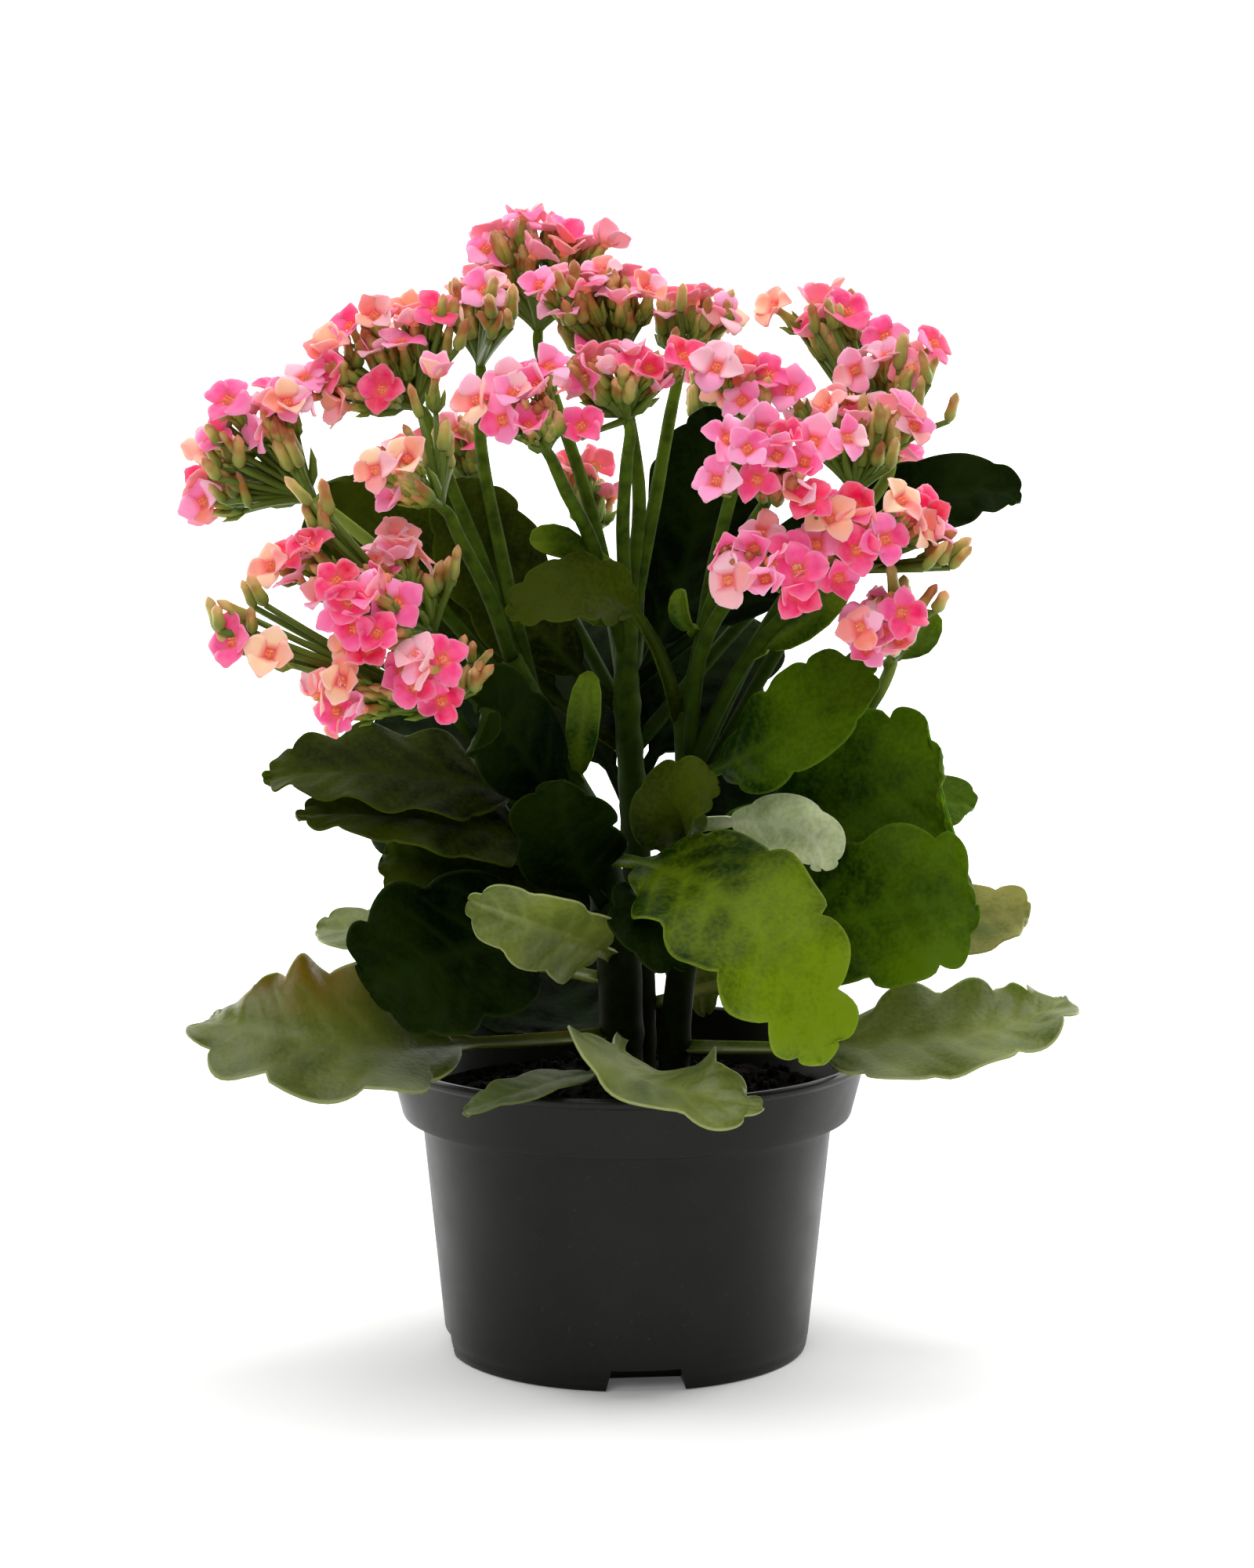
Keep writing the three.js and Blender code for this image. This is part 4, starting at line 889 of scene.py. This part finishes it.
def soil():
    draw = np.random.default_rng(SEEDS["soil"])
    edge = RIM_LOW_RADIUS - WALL - 0.3
    waves = [(draw.uniform(0.05, 0.9), draw.uniform(0, FULL), draw.uniform(0, FULL))
             for _ in range(SOIL_WAVES)]

    def height(x, y, radius):
        base = lerp(SOIL_MIDDLE, SOIL_EDGE, smooth(0.3, 1.0, radius / edge))
        crumb = sum(math.sin(f * (x * math.cos(a) + y * math.sin(a)) + p) / (1 + 6 * f) for f, a, p in waves)
        return base + crumb * 0.55 * (1 - smooth(0.93, 1.0, radius / edge))

    hidden = [(AXIS_GAP, FLOOR + 0.3), (FOOT_RADIUS - WALL - 14, FLOOR + 0.3), (FOOT_RADIUS - WALL - 14, 8),
              (FOOT_RADIUS - WALL + 0.5, 9), (BODY_TOP_RADIUS - WALL - 0.4, RIM_LOW - 0.6), (edge, SOIL_EDGE)]
    points = [point for radius, level in hidden for point in ring(radius, level, SOIL_SIDES)]
    for row in range(1, SOIL_ROWS + 1):
        radius = max(edge * (1 - row / SOIL_ROWS), 0.05)
        points += [(x, y, height(x, y, radius) + draw.normal(0, SOIL_GRAIN))
                   for x, y, _ in ring(radius, 0, SOIL_SIDES)]
    skin = Skin()
    skin.add(points, ring_faces(len(hidden) + SOIL_ROWS, SOIL_SIDES))
    crumbs = []
    for _ in range(CRUMBS):
        radius = edge * math.sqrt(draw.uniform(0, 0.93))
        angle = draw.uniform(0, FULL)
        x, y = radius * math.cos(angle), radius * math.sin(angle)
        crumbs.append((x, y, height(x, y, radius), draw.uniform(*CRUMB_SIZES)))
    for x, y, z, size in crumbs:
        lump(skin, vec(x, y, z + size * 0.25), size, draw)
    dress(skin.build("soil_bed", [SOIL]), "soil")


def lump(skin, centre, size, draw):
    """An uneven crumb."""
    rows, sides = 4, 6
    stretch = draw.uniform(0.6, 1.3, 3)
    points = []
    for row in range(rows):
        polar = math.pi * (row + 0.5) / rows
        for side in range(sides):
            angle = FULL * side / sides
            reach = size * draw.uniform(0.75, 1.1)
            points.append(centre + reach * stretch * vec(math.sin(polar) * math.cos(angle),
                                                         math.sin(polar) * math.sin(angle), -math.cos(polar)))
    skin.add(points, ring_faces(rows, sides))


# Stems

def head_foot(points, umbels):
    """The fork of a head and the way its umbels run from there."""
    root = vec(*points[-1])
    middle = sum(vec(*umbel[0]) for umbel in umbels) / len(umbels)
    return root, unit(middle - root)


def stem(side, number):
    """A main stem with the stalks of its heads and its small leaves."""
    draw = np.random.default_rng(SEEDS["stem"] + number)
    skin = Skin()
    centres = [stem_curves[side].at(part) for part in np.linspace(0, 1, STEM_RINGS)]
    heights = np.array([centre[2] for centre in centres])
    radii = []
    for height in heights:
        joint = sum(NODE_SWELL * math.exp(-((height - row[1]) / NODE_REACH) ** 2)
                    for row in LEAVES if row[0] == side)
        radii.append(stem_at(side, height)[2] * (1 + 0.015 * math.sin(height * 1.7)) + min(joint, 0.6))
    tube(skin, centres, radii, STEM_SIDES, ridges=0.025,
         along=np.clip((heights - SOIL_MIDDLE) / 120, 0, 1) * 0.8, tone=0.0)
    for owner, stalk, umbels in HEADS:
        if owner != side:
            continue
        root, axis = head_foot(stalk, umbels)
        path = Curve([vec(*point) for point in stalk[:-1]] + [root - axis * 3, root + axis * 0.4])
        parts = np.linspace(0, 1, STALK_RINGS)
        radii = lerp(STALK_FOOT_RADIUS, STALK_TIP_RADIUS, parts) * (1 + 0.02 * np.sin(parts * 31))
        centres = [path.at(part) for part in parts]
        levels = np.array([centre[2] for centre in centres])
        outer = np.array([abs(centre[0]) for centre in centres])
        # stalks farther out from the middle take a higher tone, painted lighter as painted light
        tube(skin, centres, radii, STALK_SIDES, ridges=0.03,
             along=np.clip(0.45 + (levels - 150) / 160, 0.3, 1), tone=np.clip((outer - 45) / 30, 0, 0.8))
    bracts = Skin()
    for owner, *place in BRACTS:
        if owner == side:
            blade(bracts, *place, 0, BRACT_CUP, 0, BRACT_WAVE, draw, BRACT_FINENESS)
    if bracts.count:
        values = {key: np.concatenate(columns) for key, columns in bracts.values.items()}
        skin.add(np.concatenate(bracts.points), bracts.faces, 1, **values)
    dress(skin.build(f"stem_{side}_bark", [STEM, LEAF_MATERIALS["fresh"]]), "stem_" + side)


# Flower heads

def petal(opening, recurve, cup, twist, width, length):
    """Points, faces and values of one petal that runs along +X from its throat."""
    rows, columns = PETAL_ROWS, PETAL_COLUMNS
    s = np.linspace(0, 1, rows)
    angles = opening + (1.05 - opening) * np.exp(-s / 0.13) - recurve * s ** 2
    step = length / (rows - 1)
    x = 0.9 + np.concatenate([[0], np.cumsum(np.cos((angles[1:] + angles[:-1]) / 2) * step)])
    z = np.concatenate([[0], np.cumsum(np.sin((angles[1:] + angles[:-1]) / 2) * step)])
    half = width * np.sin(math.pi * (0.05 + 0.92 * s ** 0.9)) ** 0.58
    half = half * (1 - 0.5 * smooth(0.62, 1.0, s)) + 0.06
    t = np.linspace(-1, 1, columns)
    rise = cup * (t[None, :] ** 2) * half[:, None] * smooth(0.05, 0.4, s)[:, None]
    groove = -0.12 * np.exp(-(t[None, :] / 0.25) ** 2) * (1 - s)[:, None]
    y = half[:, None] * t[None, :]
    lift = np.stack([-np.sin(angles), 0 * angles, np.cos(angles)], axis=1)
    top = np.stack([np.repeat(x[:, None], columns, 1), y, np.repeat(z[:, None], columns, 1)], axis=2)
    top = top + lift[:, None, :] * (rise + groove + twist * y / max(width, 1) * s[:, None])[..., None]
    thick = PETAL_THICKNESS * (1 - 0.55 * np.abs(t[None, :]) ** 3) * np.ones((rows, 1))
    low = top - lift[:, None, :] * thick[..., None]
    rings = np.concatenate([top, low[:, ::-1]], axis=1)
    grid = np.ones((rows, columns))

    def both(values):
        return np.concatenate([values, values[:, ::-1]], axis=1).ravel()

    return rings.reshape(-1, 3), ring_faces(rows, 2 * columns), {
        "along": both(s[:, None] * grid), "across": both(np.abs(t)[None, :] * grid),
        "under": np.concatenate([0 * grid, grid], axis=1).ravel(),
    }


def placed(points, centre, across, up, outward):
    return centre + points[:, :1] * across + points[:, 1:2] * up + points[:, 2:] * outward


def floret(skin, centre, outward, base, spin, opening, tone, draw):
    """An open flower: four petals, throat, stamens, and the flower's tube with its sepals."""
    across, up = basis(outward)
    turn = toward(spin, across, up)
    turned_up = np.cross(outward, turn)
    size = draw.uniform(0.82, 1.12)
    for index in range(PETALS):
        angle = index * math.pi / 2 + draw.normal(0, 0.06)
        points, faces, values = petal(
            opening + draw.normal(0, 0.28), draw.uniform(0.0, 1.4), draw.uniform(-0.25, 0.65),
            draw.normal(0, 0.5), PETAL_HALF_WIDTH * draw.uniform(0.85, 1.08) * size, PETAL_LENGTH * size)
        forward = toward(angle, turn, turned_up)
        sideways = np.cross(outward, forward)
        raised = centre + outward * (0.12 if index % 2 else 0)
        skin.add(placed(points, raised, forward, sideways, outward), faces, 0,
                 tone=np.clip(tone + draw.normal(0, 0.08), 0, 1), **values)
    # throat
    tube(skin, [centre - outward * 1.2, centre + outward * 0.1, centre + outward * 0.55],
         [1.05, 1.25, 0.5], 8, 0, along=0.03, across=0.0, under=0.0, tone=tone)
    for index in range(PETALS):
        angle = index * math.pi / 2 + math.pi / 4
        foot = centre + toward(angle, turn, turned_up) * 0.6
        tube(skin, [foot, foot + outward * 1.1, foot + outward * 1.5], [0.22, 0.32, 0.12], 5, 0,
             along=0.04, across=0.0, under=0.0, tone=0.8)
    # tube of the flower, swollen at its foot
    ends = np.array([0, 0.12, 0.3, 0.55, 0.8, 1.0])
    radii = np.array([0.7, 1.35, 1.75, 1.35, 1.0, 1.1])
    bow = unit(across + up * 0.3) * draw.normal(0, 0.4)
    line = [lerp(base, centre - outward * 0.2, part) + bow * math.sin(math.pi * part) for part in ends]
    tube(skin, line, radii, 9, 1, along=0.15 + 0.62 * ends, tone=draw.uniform(0, 0.35))
    sepals(skin, base, unit(centre - base), draw)


def sepals(skin, base, axis, draw):
    across, up = basis(axis)
    start = draw.uniform(0, math.pi)
    for index in range(PETALS):
        angle = start + index * math.pi / 2
        out = toward(angle, across, up)
        length = draw.uniform(4.2, 5.6)
        centres = [base + out * 0.5, base + out * 1.7 + axis * length * 0.35,
                   base + out * 2.1 + axis * length * 0.75,
                   base + out * (2.3 + draw.uniform(0, 0.6)) + axis * length]
        tube(skin, centres, [0.45, 0.8, 0.55, 0.1], 5, 1, along=np.array([0.1, 0.2, 0.3, 0.42]),
             tone=draw.uniform(0, 0.4))


def bud(skin, base, axis, length, radius, tone):
    parts = np.array([0, 0.08, 0.22, 0.42, 0.62, 0.78, 0.9, 1.0])
    radii = radius * np.array([0.45, 0.8, 1.0, 0.86, 0.8, 0.84, 0.55, 0.08])
    tube(skin, [base + axis * length * part for part in parts], radii, 8, 1, ridges=0.06,
         along=np.clip(0.1 + 0.9 * parts, 0, 1), tone=tone)


def umbel(skin, start, row, tones, draw):
    """A domed cluster: branchlets from the fork, open flowers on top, buds round their feet."""
    top, wide, deep = row
    axis = vec(*top) - start
    height = np.linalg.norm(axis)
    axis /= height
    across, up = basis(axis)
    count = max(FEWEST_FLOWERS, round(math.pi * (wide + 3) * (deep + 3) / FLOWER_AREA))
    shift = draw.uniform(0, FULL)

    def at(angle, reach, rise):
        return (start + across * wide * reach * math.cos(angle) + up * deep * reach * math.sin(angle)
                + axis * rise)

    for index in range(count):
        reach = math.sqrt((index + 0.35) / count) * 1.04
        angle = shift + index * GOLDEN_ANGLE
        centre = at(angle, reach, height * (1 - 0.26 * reach ** 2) - 0.4 + draw.normal(0, 1.5))
        centre[0] = np.clip(centre[0], -CANOPY_HALF_WIDTH, CANOPY_HALF_WIDTH)
        outward = unit(lerp(unit(centre - start), axis, 0.25) + draw.normal(0, 0.4, 3))
        opening = draw.choice(OPENINGS, p=OPENING_SHARES)
        tone = np.clip(draw.choice(tones) + draw.normal(0, 0.1), 0, 1)
        length = min(TUBE, height * 0.5) * draw.uniform(0.9, 1.05)
        base = centre - unit(lerp(outward, unit(centre - start), 0.6)) * length
        if opening > SHUT:
            centre = centre - outward * 1.8
        floret(skin, centre, outward, base, draw.uniform(0, math.pi / 2), opening, tone, draw)
        branchlet(skin, start, axis, base)
    for index in range(round(count * BUDS_PER_FLOWER)):
        angle = shift + 0.5 + index * GOLDEN_ANGLE * 1.3
        reach = draw.uniform(0.35, 1.1)
        tier = draw.uniform(0.3, 0.68)
        base = at(angle, reach * 0.66, height * tier * (1 - 0.1 * reach))
        aim = at(angle, reach * 1.12, height * 1.02)
        length = min(draw.uniform(*BUD_LENGTHS), height * 0.48)
        bud(skin, base, unit(aim - base), length, draw.uniform(*BUD_RADII), draw.uniform(0, 0.75))
        branchlet(skin, start, axis, base)
    for index in range(4):
        angle = shift + index * 1.7
        out = toward(angle, across, up)
        foot = start + axis * height * 0.1 + out * 0.8
        line = [foot, foot + out * 1.6 + axis * 2.5, foot + out * 3.2 + axis * 6, foot + out * 4 + axis * 9]
        tube(skin, line, [0.5, 1.3, 1.0, 0.1], 6, 1, along=np.array([0.1, 0.15, 0.2, 0.3]), tone=0.1)


def branchlet(skin, start, axis, base):
    """A thin stalk from the fork to a flower or bud, bowed outward."""
    rise = axis * (base - start).dot(axis)
    bend = start + rise * 0.45 + (base - start - rise) * 0.25
    parts = np.linspace(0, 1, 6)
    line = [(1 - p) ** 2 * start + 2 * p * (1 - p) * bend + p ** 2 * base for p in parts]
    tube(skin, line, lerp(1.1, 0.75, parts), 6, 1, along=0.02 + 0.1 * parts, tone=0.1)


def spray(skin, start, place, count, draw):
    """A few closed buds on branchlets from one point."""
    place = vec(*place)
    axis = unit(place - start)
    for _ in range(count):
        foot = place + draw.normal(0, 3.0, 3)
        aim = unit(lerp(axis, vec(0, 0, 1), 0.5) + draw.normal(0, 0.22, 3))
        bud(skin, foot, aim, draw.uniform(6, 9.5), draw.uniform(1.2, 1.75), draw.uniform(0.2, 0.8))
        branchlet(skin, start, axis, foot)


def extras(skin, start, rows, draw):
    """Single flowers, and sprays where a row has only a place and a number of buds."""
    for place, *flower in rows:
        if len(flower) == 1:
            spray(skin, start, place, flower[0], draw)
            continue
        facing, rise, tone = flower
        centre = vec(*place)
        outward = unit(vec(*facing))
        base = centre - unit(outward + 0.8 * unit(centre - start)) * 8.5
        floret(skin, centre, outward, base, draw.uniform(0.5, 1.0), rise, tone, draw)
        branchlet(skin, start, unit(base - start), base)


def heads():
    for index, (_, stalk, umbels) in enumerate(HEADS):
        draw = np.random.default_rng(SEEDS["head"] + index)
        skin = Skin()
        start = vec(*stalk[-1])
        for row in umbels:
            umbel(skin, start, row, HEAD_TONES.get(index + 1, PLAIN_TONES), draw)
        extras(skin, start, EXTRAS.get(index + 1, []), draw)
        name = f"head_{index + 1:02d}"
        dress(skin.build(name + "_bloom", [PETAL, CALYX]), name)


def leaves():
    for index, row in enumerate(LEAVES):
        side, height, middle, tip, width, face, lobes, cup, taper, look, wave, *stalk_part = row
        skin = Skin()
        blade(skin, leaf_foot(side, height, middle), middle, tip, width, face, lobes, cup, taper, wave,
              np.random.default_rng(SEEDS["leaf"] + index), 1.0, *stalk_part)
        name = f"leaf_{index + 1:02d}"
        dress(skin.build(name + "_blade", [LEAF_MATERIALS[look]]), name)


# Studio

def floor():
    """A pale sheet that runs level under the pot and curves up far behind it, glowing faintly in front and
    fully at the back.
    """
    bend = SHEET_BEND
    outline = [(SHEET_FRONT, 0), (bend, 0)]
    outline += [(bend + bend * math.sin(angle), bend - bend * math.cos(angle))
                for angle in np.linspace(0.1, math.pi / 2, 16)]
    outline += [(2 * bend, SHEET_TOP)]
    skin = Skin()
    skin.add([(x, y, z) for y, z in outline for x in (-SHEET_HALF_WIDTH, SHEET_HALF_WIDTH)],
             [(2 * i, 2 * i + 1, 2 * i + 3, 2 * i + 2) for i in range(len(outline) - 1)])
    paint = Paint("paper", 0.9, 0.0)
    depth = paint.node("ShaderNodeSeparateXYZ", {0: paint.place()}).outputs["Y"]
    # the sheet glows, faint near the pot and full far behind: painted shadow round the plant and painted
    # light that keeps the far sheet white
    paper = paint.finish(base_color=(0.9, 0.9, 0.9, 1), emission_color=(1, 1, 1, 1),
                         emission_strength=paint.ranged(depth, 0.2, 0.9, 0.06, 1.0))
    skin.build("backdrop", [paper])


def area_light(name, place, target, size, power):
    data = bpy.data.lights.new(name, "AREA")
    data.shape = "RECTANGLE"
    data.size, data.size_y = size
    data.energy = power
    light = put(name, data)
    light.location = place
    aim = Vector(target) - Vector(place)
    light.rotation_euler = aim.to_track_quat("-Z", "Y").to_euler()


def studio():
    floor()
    for name, row in LIGHTS.items():
        area_light(name, *row)
    world = bpy.data.worlds.new("world")
    bpy.context.scene.world = world
    world.use_nodes = True
    world.node_tree.nodes["Background"].inputs["Color"].default_value = (1, 1, 1, 1)
    world.node_tree.nodes["Background"].inputs["Strength"].default_value = WORLD_STRENGTH


def camera():
    data = bpy.data.cameras.new("camera")
    data.lens = LENS
    data.sensor_width = SENSOR
    data.clip_end = 50
    made = put("camera", data)
    made.location = CAMERA_PLACE
    made.rotation_euler = (math.pi / 2 - math.radians(CAMERA_TILT), 0, 0)
    bpy.context.scene.camera = made


pot()
soil()
for number, side in enumerate(STEMS):
    stem(side, number)
leaves()
heads()
studio()
camera()
bpy.context.scene.view_settings.view_transform = "Standard"
